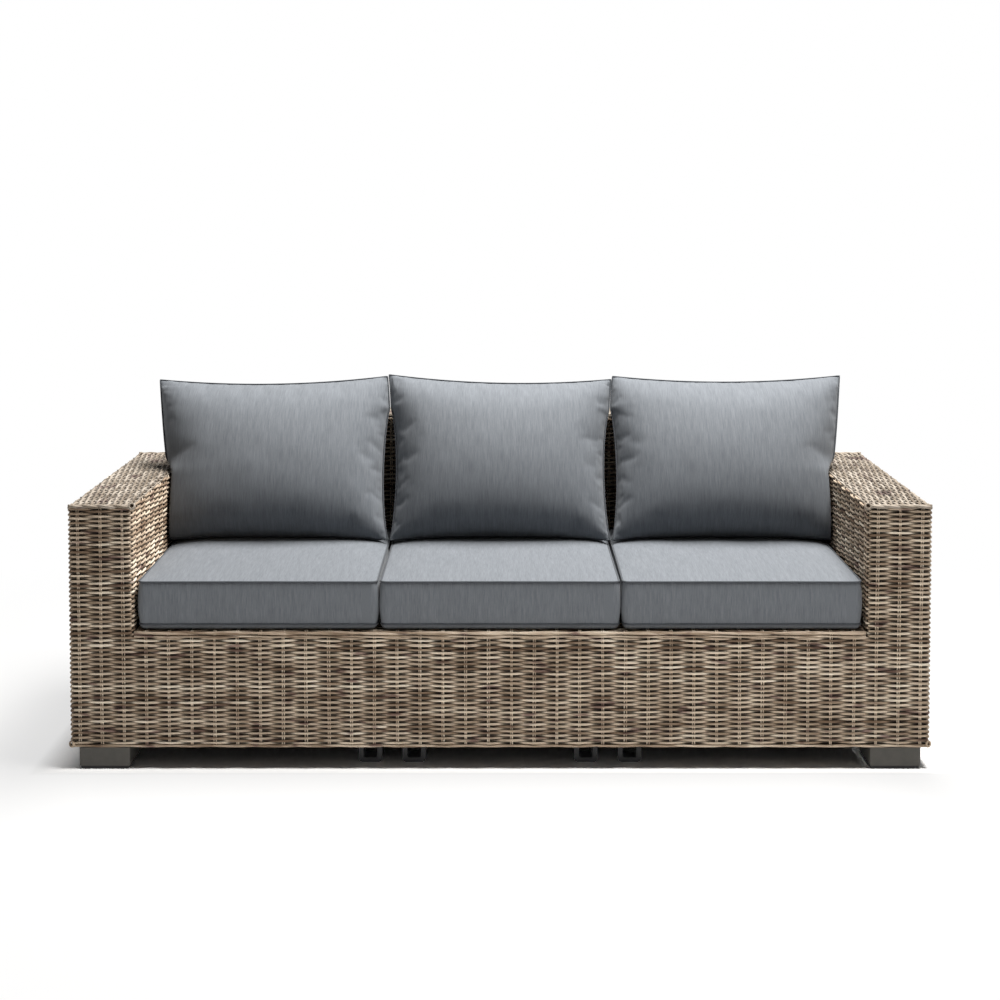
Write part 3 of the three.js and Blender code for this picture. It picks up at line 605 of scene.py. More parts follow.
def weave_rows(path, heights, first_row, name):
    """Closed rows of cane round a path, in front of and behind the stakes by turns."""
    tubes = Tubes()
    stake = path.samples()
    point, normal = path.at(stake)
    outward = np.concatenate([normal, np.zeros((len(stake), 1))], axis=1)
    for row, height in enumerate(heights, first_row):
        source = rng(1000 + row)
        wave = stake_wave(stake, row)
        middle = (OVER_DEPTH + UNDER_DEPTH) / 2
        swing = (UNDER_DEPTH - OVER_DEPTH) / 2 * (1 + 0.08 * wander(len(stake), source, (7, 19, 31)))
        depth = middle - swing * wave
        lift = ROW_WANDER * wander(len(stake), source, (9, 23, 41, 67, 97))
        lift += row_drift(point, height)
        size = 1 + 0.06 * source.normal() + 0.06 * wander(len(stake), source, (5, 13, 29))
        centre = np.column_stack([point - normal * depth[:, None], height + lift])
        radius_s = STRAND_RADIUS * size * (1.06 + 0.05 * wave)
        tone = strand_tones(len(stake), source, max(2, int(path.total / ROW_RUN_STAKES)))
        tubes.add(centre, outward, UP, STRAND_RADIUS * size, radius_s, tone, (wave + 1) / 2, closed=True)
    return tubes.build(name, weave_finish)


def add_stake(tubes, centre, outward, across, source, least_tone, depth):
    """One thin cane of a pair, with a thickness and a tone of its own."""
    size = STAKE_RADIUS * source.uniform(0.9, 1.1)
    tubes.add(centre, outward, across, size, size, source.uniform(least_tone, 1.0), depth)


def stake_tubes(tubes, path, low, high, wanted):
    """Upright pairs of thin canes at the middle of each weave bay that is wanted."""
    heights = np.arange(low, high + STAKE_SAMPLING / 2, STAKE_SAMPLING)
    heights[-1] = high
    for number in np.arange(0.5, path.total, 1.0):
        point, normal = path.at(number)
        if not wanted(point):
            continue
        tangent = np.array([-normal[1], normal[0]])
        source = rng(int(number * 2) + 5000 + int(path.total))
        for side in (-1, 1):
            spot = point - normal * STAKE_DEPTH + tangent * side * STAKE_SPREAD
            lean = STAKE_WANDER * np.sin(heights * STAKE_WANDER_RATE + source.uniform(0, ANY_PHASE))
            centre = np.column_stack([spot + tangent * lean[:, None], heights])
            add_stake(tubes, centre, np.append(normal, 0.0), np.append(tangent, 0.0), source, 0.55, 0.75)


# Finishes

def empty_tree(owner, kind):
    """Clears the nodes of a material or world, and gives them with the surface input of a new output."""
    owner.use_nodes = True
    tree = owner.node_tree
    tree.nodes.clear()
    return tree, tree.nodes.new(kind).inputs["Surface"]


def new_material(name):
    material = bpy.data.materials.new(name)
    tree, surface = empty_tree(material, "ShaderNodeOutputMaterial")
    shader = tree.nodes.new("ShaderNodeBsdfPrincipled")
    tree.links.new(shader.outputs["BSDF"], surface)
    return material, tree, shader


def node(tree, kind, **values):
    """New node with named inputs and settings."""
    made = tree.nodes.new(kind)
    for key, value in values.items():
        if key in made.inputs:
            made.inputs[key].default_value = value
        else:
            setattr(made, key, value)
    return made


def ramp(tree, source, stops):
    made = tree.nodes.new("ShaderNodeValToRGB")
    elements = made.color_ramp.elements
    while len(elements) < len(stops):
        elements.new(0.5)
    for element, (place, colour) in zip(elements, stops):
        element.position = place
        element.color = (*colour, 1.0)
    tree.links.new(source, made.inputs["Fac"])
    return made.outputs["Color"]


def mix(tree, factor, first, second, blend="MIX"):
    made = tree.nodes.new("ShaderNodeMix")
    made.data_type = "RGBA"
    made.blend_type = blend
    for socket, value in ((made.inputs[0], factor), (made.inputs[6], first), (made.inputs[7], second)):
        if hasattr(value, "links"):
            tree.links.new(value, socket)
        else:
            socket.default_value = value if isinstance(value, float) else (*value, 1.0)
    return made.outputs[2]


def maths(tree, operation, *values):
    made = tree.nodes.new("ShaderNodeMath")
    made.operation = operation
    for socket, value in zip(made.inputs, values):
        if hasattr(value, "links"):
            tree.links.new(value, socket)
        else:
            socket.default_value = value
    return made.outputs[0]


def attribute(tree, name, output="Fac"):
    return node(tree, "ShaderNodeAttribute", attribute_name=name).outputs[output]


def stretched_noise(tree, vector, stretch, detail, roughness):
    """Noise over a vector that is scaled along each of its axes."""
    scaled = node(tree, "ShaderNodeVectorMath", operation="MULTIPLY")
    tree.links.new(vector, scaled.inputs[0])
    scaled.inputs[1].default_value = stretch
    noise = node(tree, "ShaderNodeTexNoise", Scale=1.0, Detail=detail, Roughness=roughness)
    tree.links.new(scaled.outputs[0], noise.inputs["Vector"])
    return noise.outputs["Fac"]


def set_inputs(made, values):
    for name, value in values.items():
        made.inputs[name].default_value = value


def bump(tree, shader, height, strength, distance):
    made = node(tree, "ShaderNodeBump", Strength=strength, Distance=distance)
    tree.links.new(height, made.inputs["Height"])
    tree.links.new(made.outputs["Normal"], shader.inputs["Normal"])


def plain_material(name, shade, roughness, specular):
    material, _, shader = new_material(name)
    set_inputs(shader, {"Base Color": (*shade, 1.0), "Roughness": roughness, "Specular IOR Level": specular})
    return material


def cane_material(name, shades, deepest_painted_shade):
    """Weathered round cane: its own tone, mottling and fibres along it, and painted shade where it dips
    inward.
    """
    material, tree, shader = new_material(name)
    strand = attribute(tree, "strand", "Vector")
    place = node(tree, "ShaderNodeTexCoord").outputs["Object"]
    mottle = stretched_noise(tree, strand, MOTTLE_STRETCH, 3.0, 0.6)
    fibre = stretched_noise(tree, strand, FIBRE_STRETCH, 2.0, 0.55)
    patch = stretched_noise(tree, place, PATCH_STRETCH, 2.0, 0.5)
    stain = stretched_noise(tree, place, STAIN_STRETCH, 2.0, 0.5)
    level = maths(tree, "ADD", attribute(tree, "tone"), maths(tree, "MULTIPLY_ADD", mottle, 1.3, -0.65))
    level = maths(tree, "ADD", level, maths(tree, "MULTIPLY_ADD", patch, 0.9, -0.45))
    stained = ramp(tree, stain, [(0.6, (1.0, 1.0, 1.0)), (0.68, (0.42, 0.34, 0.36))])
    fibrous = ramp(tree, fibre, [(0.3, (0.25, 0.2, 0.16)), (0.7, (1.0, 0.96, 0.9))])
    # Painted shade: the cane is darkened where it lies deep behind a stake, where shade falls
    painted_recess_shade = ramp(tree, attribute(tree, "outward"), [
        (0.0, (deepest_painted_shade,) * 3), (0.22, (deepest_painted_shade * 3,) * 3), (0.55, (1.0, 1.0, 1.0))])
    colour = ramp(tree, level, shades)
    for strength, layer in ((1.0, stained), (0.35, fibrous), (1.0, painted_recess_shade)):
        colour = mix(tree, strength, colour, layer, "MULTIPLY")
    tree.links.new(colour, shader.inputs["Base Color"])
    roughness = ramp(tree, fibre, [(0.2, (0.62,) * 3), (0.8, (0.86,) * 3)])
    tree.links.new(roughness, shader.inputs["Roughness"])
    shader.inputs["Specular IOR Level"].default_value = 0.32
    bump(tree, shader, fibre, 0.35, FIBRE_DEPTH)
    return material


# The last number of each cane finish sets how dark its painted recess shade gets
weave_finish = cane_material("cane", CANE_SHADES, 0.08)
# The level tops take the darker copy of the cane shades, painted shade against the light from above
shaded_cap_finish = cane_material("cap_cane_painted_shade", SHADED_CAP_SHADES, 0.1)
stake_finish = cane_material("stake_cane", CANE_SHADES, 0.5)
shade_sheet_finish = plain_material("shade_sheet", SHADE_SHEET_COLOUR, 0.95, 0.1)
curl_shade_finish = plain_material("curl_shade_disc", CURL_SHADE_COLOUR, 0.95, 0.1)


# Woven walls

def split_rows(path, heights, first_row, name, replaced):
    """Builds rows in pieces small enough to keep every strand."""
    per_row = len(path.samples()) * STRAND_SIDES * 2
    size = max(1, STRANDS_PIECE_LIMIT // per_row)
    parts = math.ceil(len(heights) / size)
    size = math.ceil(len(heights) / parts)
    for part in range(parts):
        chosen = heights[part * size:(part + 1) * size]
        obj = weave_rows(path, chosen, first_row + part * size, f"{name}_{part + 1}")
        place_piece(obj, "weave", "frame", *replaced)


def at_front(point):
    return point[1] < -HALF_DEPTH + SLACK and abs(point[0]) < ARM_INNER


def at_rear(point):
    return point[1] > HALF_DEPTH - SLACK and abs(point[0]) < ARM_INNER


def round_arms(point):
    return not at_front(point) and not at_rear(point)


def inside_arms(point):
    return abs(point[0]) < ARM_INNER + SLACK and point[1] < BACK_INNER - SLACK


def inside_back(point):
    return abs(point[1] - BACK_INNER) < 2 * SLACK and abs(point[0]) < ARM_INNER - SLACK


def at_back_ends(point):
    return abs(point[0]) > ARM_INNER - SLACK


def build_walls():
    """Rows, painted shade sheets and stakes, each on the plan that the walls have at its height."""
    base, arms, back = base_path(), arm_level_path(), back_level_path()
    change = APRON_TOP - APRON_CHANGE
    arm_end = ARM_TOP - ARM_ROWS_END
    first = SKIN_BOTTOM + 2 * BORDER_RADIUS + ROW_PITCH / 2
    levels = np.arange(first, BACK_TOP - BACK_ROWS_END, ROW_PITCH)
    arm_rows = levels[(levels >= change) & (levels < arm_end)]
    back_rows = levels[levels > arm_end]
    first_arm = int(np.searchsorted(levels, arm_rows[0]))
    first_back = int(np.searchsorted(levels, back_rows[0]))
    split_rows(base, levels[levels < change], 0, "weave_base", OUTER_WALLS)
    split_rows(arms, arm_rows, first_arm, "weave_arms", ARM_WALLS + BACK_WALLS)
    split_rows(back, back_rows, first_back, "weave_back", BACK_WALLS)

    arm_reach = ARM_TOP - SHADE_SHEET_END
    back_reach = BACK_TOP - SHADE_SHEET_END
    for path, low, high, name in (
        (base, SKIN_BOTTOM + SHADE_SHEET_START, change, "weave_base_shade_sheet"),
        (arms, change, arm_reach, "weave_arms_shade_sheet"),
        (back, arm_reach, back_reach, "weave_back_shade_sheet"),
    ):
        place_piece(shade_sheet(path, low, high, name), "weave", "frame", *WALLS)

    stakes = Tubes()
    low = SKIN_BOTTOM + BORDER_RADIUS
    stake_tubes(stakes, base, low, APRON_TOP - APRON_STAKES_END, at_front)
    stake_tubes(stakes, base, low, back_reach, at_rear)
    stake_tubes(stakes, base, low, arm_reach, round_arms)
    stake_tubes(stakes, arms, DECK_TOP, arm_reach, inside_arms)
    stake_tubes(stakes, back, DECK_TOP, back_reach, inside_back)
    stake_tubes(stakes, back, ARM_TOP, back_reach, at_back_ends)
    place_piece(stakes.build("weave_stakes", stake_finish), "weave", "frame", *WALLS)


build_walls()


# Woven caps, deck and borders

def along_back(across, along, up):
    """Turns the axes of the back's cap and of the deck into the sofa's."""
    return along, across, up


def flat_weave(tubes, across, along, stake_count, lie, row_pitch, seed, profile):
    """Rows of cane over and under cross stakes on a level face; lie turns its axes into the sofa's."""
    radius, over, under = profile
    low, high = across
    rows = round((high - low) / row_pitch)
    pitch = (high - low) / rows
    count = stake_count * SAMPLES_PER_STAKE + 1
    stake = np.linspace(0, stake_count, count)
    place = np.linspace(*along, count)
    side = np.array(lie(1.0, 0.0, 0.0))
    for row in range(rows):
        source = rng(seed + row)
        drift = CAP_WANDER * wander(count, source, (5, 11, 23))
        middle = low + pitch * (row + 0.5)
        edge = max(0.0, 1 - min(middle - low, high - middle) / CAP_EDGE_ROUND)
        wave = stake_wave(stake, row) * (1 - edge)
        depth = (over + under) / 2 - (under - over) / 2 * wave
        depth = depth + CAP_EDGE_DROP * edge ** 2
        size = 1 + 0.06 * source.normal() + 0.05 * wander(count, source, (3, 9, 21))
        centre = np.array([lie(a, b, -d) for a, b, d in zip(middle + drift, place, depth)])
        tone = strand_tones(count, source, max(2, stake_count // LEVEL_RUN_STAKES))
        tubes.add(centre, UP, side, radius * size, radius * size * (1.0 + 0.08 * wave), tone, (wave + 1) / 2)


def flat_stakes(tubes, across, along, stake_count, lie, depth, seed):
    """Pairs of thin canes across the rows of a level weave."""
    low, high = across
    begin, end = along
    places = np.linspace(low, high, max(3, int((high - low) / CAP_STAKE_SAMPLING)))
    side = np.array(lie(0.0, 1.0, 0.0))
    for k in range(stake_count):
        spot = begin + (end - begin) * (k + 0.5) / stake_count
        source = rng(seed + k)
        for sign in (-1, 1):
            centre = np.array([lie(a, spot + sign * STAKE_SPREAD, -depth) for a in places])
            add_stake(tubes, centre, UP, side, source, 0.6, 0.7)


def level_weave(across, along, stake_count, lie, top, pitch, profile, stake_depth, seeds):
    """Rows and paired stakes of a level weave, raised to the height of its face."""
    tubes = Tubes()
    flat_weave(tubes, across, along, stake_count, lie, pitch, seeds[0], profile)
    flat_stakes(tubes, across, along, stake_count, lie, stake_depth, seeds[1])
    tubes.verts = [points + UP * top for points in tubes.verts]
    return tubes


def frames_along(points, facing):
    """Normal and side directions for a bent line that keeps its normal near one facing."""
    way = unit(np.gradient(points, axis=0))
    side = unit(np.cross(way, np.broadcast_to(facing, points.shape)))
    return np.cross(side, way), side


def rolled_border(tubes, points, roll, seed):
    """Two canes rolled round each other along a level line."""
    radius, twist_length = roll
    normal, side = frames_along(points, UP)
    step = np.linalg.norm(np.diff(points, axis=0), axis=1)
    along = np.concatenate([[0.0], np.cumsum(step)])
    total = along[-1]
    turns = max(1, round(total / twist_length))
    source = rng(seed)
    for half in (0, 1):
        phase = 2 * math.pi * turns * along / total + half * math.pi
        spread = radius * 0.92
        wobble = 0.35 * radius * wander(len(points), source, (7, 17, 37))
        centre = points + normal * (np.cos(phase) * spread * 0.45)[:, None]
        centre = centre + side * (np.sin(phase) * spread + wobble)[:, None]
        size = radius * (1 + 0.07 * wander(len(points), source, (5, 13, 29)))
        tone = strand_tones(len(points), source, max(2, int(total * TONES_PER_METRE))) * 0.8 + 0.12
        tubes.add(centre, normal, side, size, size, tone, 0.9)


def line(start, end, spacing):
    start, end = np.array(start, float), np.array(end, float)
    count = max(2, int(np.linalg.norm(end - start) / spacing) + 1)
    return start + (end - start) * np.linspace(0, 1, count)[:, None]


def closed_line(path, depth, height):
    """A level line once round a plan path, sunk by a depth."""
    stake = path.samples()
    stake = np.concatenate([[0.0], stake[(stake > 0) & (stake < path.total)], [path.total]])
    point, normal = path.at(stake)
    return np.column_stack([point - normal * depth, np.full(len(stake), height)])


def curl(tubes, centre, axis, sizes, seed):
    """A curl of cane where a border ends at a corner."""
    radius, cane = sizes
    axis = unit(np.array(axis, float))
    first = unit(np.cross(axis, UP))
    second = np.cross(axis, first)
    t = np.linspace(0, CURL_TURNS * 2 * math.pi, int(CURL_TURNS * CURL_SAMPLES))
    reach = radius * (1 - CURL_CLOSING_SHARE * t / t[-1])
    points = np.array(centre, float) + first * (reach * np.cos(t))[:, None]
    points = points + second * (reach * np.sin(t))[:, None] + axis * (cane * 1.1 * t / t[-1])[:, None]
    normal, side = frames_along(points, axis)
    tubes.add(points, normal, side, cane, cane, rng(seed).uniform(0.3, 0.8), 0.85)


def curl_shade_disc(name, centre, axis):
    """Painted shade: a dark round disc inside a curl of cane, standing for the shade in its hollow."""
    turns = np.linspace(0, 2 * math.pi, CURL_SIDES, endpoint=False)
    facing = Vector(axis).to_track_quat("Z", "Y")
    radius = CURL_SHADE_DISC_RADIUS
    rim = [np.array(facing @ Vector((radius * math.cos(t), radius * math.sin(t), 0))) for t in turns]
    back = np.array(facing @ Vector((0, 0, -CURL_SHADE_DISC_DEPTH)))
    verts = [np.array(centre) + offset + shift for shift in (back, np.zeros(3)) for offset in rim]
    n = CURL_SIDES
    faces = [tuple(range(n - 1, -1, -1)), tuple(range(n, 2 * n))]
    faces += [(k, (k + 1) % n, (k + 1) % n + n, k + n) for k in range(n)]
    obj = plain_object(name, verts, faces)
    obj.data.materials.append(curl_shade_finish)
    place_piece(obj, "weave", "frame")


def flat_shade_sheet(name, across, along, lie, top, depth):
    """Painted shade: a near-black sheet under the strands of a level weave."""
    (left, front, _), (right, rear, _) = lie(across[0], along[0], 0), lie(across[1], along[1], 0)
    left, right = sorted((left, right))
    high, low = top - depth, top - depth - SHADE_SHEET_THICKNESS
    plan = [(left, front), (right, front), (right, rear), (left, rear)]
    verts = [(x, y, z) for z in (low, high) for x, y in plan]
    faces = [(3, 2, 1, 0), (4, 5, 6, 7)] + [(n, (n + 1) % 4, (n + 1) % 4 + 4, n + 4) for n in range(4)]
    obj = make_object(name, np.array(verts), np.array(faces), smooth=False)
    obj.data.materials.append(shade_sheet_finish)
    return obj


def inset(low, high, margin):
    return low + margin, high - margin


def build_arm_cap(index, side, sign):
    """Woven top of one arm, with rolled canes across its ends and a curl at each corner."""
    def lie(across, along, up):
        return sign * across, along, up

    across, along = (ARM_INNER, HALF_WIDTH), (-HALF_DEPTH, HALF_DEPTH)
    seeds = [seed + 100 * index for seed in CAP_SEEDS]
    part = level_weave(inset(*across, CAP_BORDER), inset(*along, CAP_BORDER), CAP_STAKES, lie, ARM_TOP,
                       CAP_PITCH, CAP_PROFILE, STAKE_DEPTH, seeds)
    inner = sign * (ARM_INNER + BORDER_RADIUS)
    outer = sign * (HALF_WIDTH - BORDER_RADIUS)
    level = ARM_TOP - BORDER_RADIUS
    for end, way in (("front", -1), ("rear", 1)):
        place = way * (HALF_DEPTH - BORDER_RADIUS)
        edge = line((inner, place, level), (outer, place, level), ROLL_SPACING)
        rolled_border(part, edge, CAP_ROLL, 3720 + index)
        x, y, z = INNER_CURL_OFFSET
        centre = (inner - sign * x, place + way * y, level + z)
        axis = (0, way, 0.5)
        curl(part, centre, axis, INNER_CURL, 3730 + index)
        # Painted shade: a dark disc in the curl's hollow
        curl_shade_disc(f"curl_shade_disc_{side}_{end}", centre, axis)
        x, y, z = OUTER_CURL_OFFSET
        curl(part, (outer - sign * x, place - way * y, level - z), (sign, 0, 0.8), OUTER_CURL, 3740 + index)
    replaced = f"weave_arm_top_{side}"
    place_piece(part.build(f"weave_arm_top_strands_{side}", shaded_cap_finish), "weave_top", "frame", replaced)
    # Painted shade: a near-black sheet under the strands of the arm's top
    cloth = flat_shade_sheet(f"weave_arm_top_shade_sheet_{side}", inset(*across, CAP_EDGE_ROUND),
                        inset(*along, CAP_EDGE_ROUND), lie, ARM_TOP, SHADE_SHEET_DEPTH)
    place_piece(cloth, "weave_top", "frame", replaced)


def build_back_cap():
    """Woven top of the back, with rolled canes across its ends."""
    across, along = (BACK_INNER, HALF_DEPTH), (-ARM_INNER, ARM_INNER)
    part = level_weave(inset(*across, CAP_BORDER), inset(*along, CAP_BORDER), SEAT_STAKES, along_back,
                       BACK_TOP, CAP_PITCH, CAP_PROFILE, STAKE_DEPTH, BACK_CAP_SEEDS)
    level = BACK_TOP - BORDER_RADIUS
    for sign in (-1, 1):
        edge = sign * (ARM_INNER - BORDER_RADIUS)
        end = line((edge, BACK_INNER, level), (edge, HALF_DEPTH, level), ROLL_SPACING)
        rolled_border(part, end, BACK_CAP_ROLL, 4310)
    place_piece(part.build("weave_back_top_strands", shaded_cap_finish), "weave_top", "frame", "weave_back_top")
    # Painted shade: a near-black sheet under the strands of the back's top
    cloth = flat_shade_sheet("weave_back_top_shade_sheet", inset(*across, CAP_EDGE_ROUND),
                        inset(*along, CAP_EDGE_ROUND), along_back, BACK_TOP, SHADE_SHEET_DEPTH)
    place_piece(cloth, "weave_top", "frame", "weave_back_top")


def build_deck():
    """Open weave under the seat cushions."""
    across, along = (deck_low.y, deck_high.y), (deck_low.x, deck_high.x)
    stake_depth = DECK_PROFILE[1] + DECK_PROFILE[0] / 2
    part = level_weave(across, along, SEAT_STAKES, along_back, DECK_TOP, DECK_PITCH, DECK_PROFILE,
                       stake_depth, DECK_SEEDS)
    place_piece(part.build("weave_deck_strands", weave_finish), "weave", "frame", "weave_seat_deck")
    # Painted shade: a near-black sheet under the deck's strands
    cloth = flat_shade_sheet("weave_deck_shade_sheet", across, along, along_back, DECK_TOP, DECK_SHADE_SHEET_DEPTH)
    place_piece(cloth, "weave", "frame", "weave_seat_deck")


def build_borders():
    """Rolled canes round the foot of the walls and along the apron's top, and curls at the front corners."""
    part = Tubes()
    rolled_border(part, closed_line(base_path(), BORDER_RADIUS, SKIN_BOTTOM + BORDER_RADIUS), FOOT_ROLL, 4800)
    front = -HALF_DEPTH + BORDER_RADIUS
    for drop, roll in APRON_ROLLS:
        height = APRON_TOP - drop
        edge = line((-ARM_INNER, front, height), (ARM_INNER, front, height), LINE_SPACING)
        rolled_border(part, edge, roll, 4810)
    x, y, z = FOOT_CURL_OFFSET
    for sign in (-1, 1):
        centre = (sign * (HALF_WIDTH - x), -HALF_DEPTH + y, SKIN_BOTTOM + z)
        curl(part, centre, (sign * 0.6, -1, 0.1), FOOT_CURL, 4820 + sign)
    place_piece(part.build("weave_borders", weave_finish), "weave", "frame", *OUTER_WALLS)


for index, (side, sign) in enumerate(zip(SIDES, (-1, 1))):
    build_arm_cap(index, side, sign)
build_back_cap()
build_deck()
build_borders()


# Cushions

class Cushion:
    """Points with cloth coordinates, closed up into one mesh."""

    def __init__(self):
        self.verts, self.faces, self.cloth = [], [], []

    def add_ring(self, points, cloth):
        self.verts.extend(points)
        self.cloth.extend(cloth)

    def finish(self, name, material):
        obj = make_object(name, np.array(self.verts), np.array(self.faces))
        add_attribute(obj, "cloth", "FLOAT_VECTOR", np.array(self.cloth))
        obj.data.materials.append(material)
        return obj


def place_padded(obj, body):
    """A textile piece that stands for its cushion's node."""
    place_piece(obj, "fabric", body, body)


def rounded_outline(width, depth, radius):
    """Points and outward normals round a rectangle with rounded corners, and how far each side is along."""
    points, normals, bow = [], [], []
    corners = [(1, -1), (1, 1), (-1, 1), (-1, -1)]
    centres = [np.array([x * (width / 2 - radius), y * (depth / 2 - radius)]) for x, y in corners]
    for index, centre in enumerate(centres):
        start = (index - 1) * math.pi / 2
        for step in range(SEAT_CORNER_STEPS + 1):
            turn = start + step / SEAT_CORNER_STEPS * math.pi / 2
            normal = np.array([math.cos(turn), math.sin(turn)])
            points.append(centre + radius * normal)
            normals.append(normal)
            bow.append(0.0)
        last = points[-1]
        after = centres[(index + 1) % 4] + radius * normal
        for step in range(1, SEAT_SIDE_STEPS):
            t = step / SEAT_SIDE_STEPS
            points.append(last + (after - last) * t)
            normals.append(normal)
            bow.append(math.sin(math.pi * t))
    return np.array(points), np.array(normals), np.array(bow)


def round_lengths(points):
    """How far along a closed line each point is."""
    step = np.linalg.norm(np.roll(points, -1, axis=0) - points, axis=1)
    return np.concatenate([[0.0], np.cumsum(step)[:-1]])


def seat_crown(across, along, half_width, half_depth):
    u = np.minimum(1.0, np.abs(across) / half_width)
    v = np.minimum(1.0, np.abs(along) / half_depth)
    return SEAT_CROWN * (1 - u ** SEAT_CROWN_RISE_ACROSS) * (1 - v ** SEAT_CROWN_RISE_ALONG)


def piping(name, points, radius, body, fabric, facing):
    """Closed cord sewn into a seam of a cushion."""
    way = unit(np.roll(points, -1, axis=0) - np.roll(points, 1, axis=0))
    side = unit(np.cross(way, np.broadcast_to(facing, points.shape)))
    normal = np.cross(side, way)
    cord = Cushion()
    count = len(points)
    along = round_lengths(points)
    for j in range(PIPING_SIDES):
        turn = 2 * math.pi * j / PIPING_SIDES
        cord.add_ring(points + normal * radius * math.cos(turn) + side * radius * math.sin(turn),
                      np.column_stack([np.full(count, turn * radius), along, np.zeros(count)]))
    cord.faces = ring_quads(PIPING_SIDES, count, True)
    place_padded(cord.finish(name, fabric), body)


def seat_bottom_rings(outline, normals, level):
    """Rings of the underside, from near its middle out towards the lower seam."""
    rings = []
    for n in range(SEAT_BOTTOM_RINGS):
        turn = n / SEAT_BOTTOM_RINGS * math.pi / 2
        plan = outline - normals * (SEAT_BOTTOM_INSET * (1 - math.sin(turn)) + SEAT_SIDE_PULL)
        rings.append((plan, level + SEAT_LOWER_SEAM * (1 - math.cos(turn)), False))
    return [(rings[0][0] * 0.5, level, False)] + rings


def seat_wall_rings(outline, normals, bow, lower, upper, ripple, fine):
    """Rings of the walls, bowed out a little and drawn in at both seams."""
    rings = []
    for n in range(SEAT_WALL_RINGS + 1):
        t = n / SEAT_WALL_RINGS
        bulge = math.sin(math.pi * t)
        seam = math.exp(-min(t, 1 - t) * 9)
        out = (SEAT_BULGE + ripple) * bulge - SEAT_SIDE_PULL * (1 - bulge)
        out = out - SEAT_SEAM_PINCH * seam * (0.5 + 0.5 * fine) - SEAT_SEAM_BOW * bow * (1 - 0.3 * bulge)
        rings.append((outline + normals * out[:, None], lower + (upper - lower) * t, True))
    return rings


def seat_top_rings(seam_plan, upper, half_width, half_depth, fine, seed):
    """Rings of the crowned top, soft in the middle and puckered beside the upper seam."""
    rings = []
    for share in SEAT_TOP_SHARES:
        plan = seam_plan * share
        across, along = plan.T / SEAT_CROWN_SPREAD
        crown = seat_crown(across, along, half_width, half_depth)
        soft = smooth_noise(plan, rng(seed), SEAT_TOP_WAVE) * min(1, (1 - share) * 7)
        pucker = SEAT_TOP_PUCKER * fine * math.exp(-(1 - share) * 22)
        rings.append((plan, upper + crown + SEAT_TOP_SOFTNESS * soft + pucker - SEAT_TOP_DIP, False))
    return rings


def build_seat_cushion(place, fabric, cord_fabric):
    """Boxed cushion: an underside, walls between two piped seams, and a crowned top."""
    name = f"seat_cushion_{place}"
    low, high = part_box(name)
    number = PLACES.index(place)
    source = rng(6000 + number)
    middle = np.array([(low.x + high.x) / 2, (low.y + high.y) / 2])
    width, depth = high.x - low.x, high.y - low.y
    outline, normals, bow = rounded_outline(width, depth, SEAT_CORNER_RADIUS)
    count = len(outline)
    around = round_lengths(outline)
    upper = high.z - SEAT_CROWN
    lower = low.z + SEAT_LOWER_SEAM
    ripple = SEAT_RIPPLE * smooth_noise(outline, source, SEAT_RIPPLE_WAVE)
    fine = smooth_noise(outline, source, SEAT_PUCKER_WAVE)
    seam_plan = outline - normals * (SEAT_SIDE_PULL + SEAT_SEAM_BOW * bow)[:, None]
    rings = seat_bottom_rings(outline, normals, low.z)
    rings += seat_wall_rings(outline, normals, bow, lower, upper, ripple, fine)
    rings += seat_top_rings(seam_plan, upper, width / 2, depth / 2, fine, 6100 + number)
    cushion = Cushion()
    for plan, height, wall in rings:
        level = np.broadcast_to(height, count)
        cloth = np.column_stack([around, level]) if wall else plan
        cushion.add_ring(np.column_stack([plan + middle, level]), np.column_stack([cloth, np.zeros(count)]))
    cushion.faces = ring_quads(len(rings), count, False)
    obj = cushion.finish(f"{name}_cover", fabric)
    close_ends(obj, count)
    for part, level in (("upper", upper), ("lower", lower)):
        cord = np.column_stack([seam_plan + middle, np.full(count, level)])
        piping(f"{name}_piping_{part}", cord, SEAT_PIPING_RADIUS, name, cord_fabric, UP)
    place_padded(obj, name)


def close_ends(obj, count):
    """Fills the first and last ring of a lofted piece, in keeping with its faces."""
    mesh = bmesh.new()
    mesh.from_mesh(obj.data)
    mesh.verts.ensure_lookup_table()
    total = len(mesh.verts)
    for ring in (range(count), range(total - count, total)):
        centre = mesh.verts.new(sum((mesh.verts[i].co for i in ring), Vector()) / count)
        ring = list(ring)
        mesh.verts.ensure_lookup_table()
        for i, j in zip(ring, ring[1:] + ring[:1]):
            mesh.faces.new((mesh.verts[i], mesh.verts[j], centre))
    bmesh.ops.recalc_face_normals(mesh, faces=mesh.faces)
    for face in mesh.faces:
        face.smooth = True
    mesh.to_mesh(obj.data)
    mesh.free()


def pillow_sides(rise, fan, seat_width, pitch):
    """How far the two side seams stand from the middle of the seat, at a share of the pillow's height."""
    bow = max(0.0, math.sin(math.pi * min(1.0, rise / BACK_BOW_TOP))) ** BACK_BOW_SHARPNESS
    foot = seat_width / 2 + BACK_FOOT_FLARE
    top = seat_width / 2 + BACK_TOP_FLARE
    middle = foot + (top - foot) * rise ** BACK_MIDDLE_RISE
    if fan == 0:
        reach = middle - BACK_SIDE_PULL * bow
        return -reach, reach
    near = middle + BACK_GAP + BACK_INNER_PULL * bow
    begin, end = BACK_SHOULDER_RISE
    free = min(1.0, max(0.0, (rise - begin) / (end - begin)))
    pressed = (BACK_PRESSED_OVERHANG - BACK_SHOULDER_OVERHANG) * (1 - free * free * (3 - 2 * free))
    above = max(0.0, rise - (begin + end) / 2) / (1 - (begin + end) / 2)
    spread = (BACK_TOP_OVERHANG - BACK_SHOULDER_OVERHANG) * above ** BACK_TOP_SPREAD
    far = ARM_INNER - BACK_ARM_GAP + BACK_SHOULDER_OVERHANG + pressed + spread
    return (near - pitch, far - pitch) if fan > 0 else (pitch - far, pitch - near)


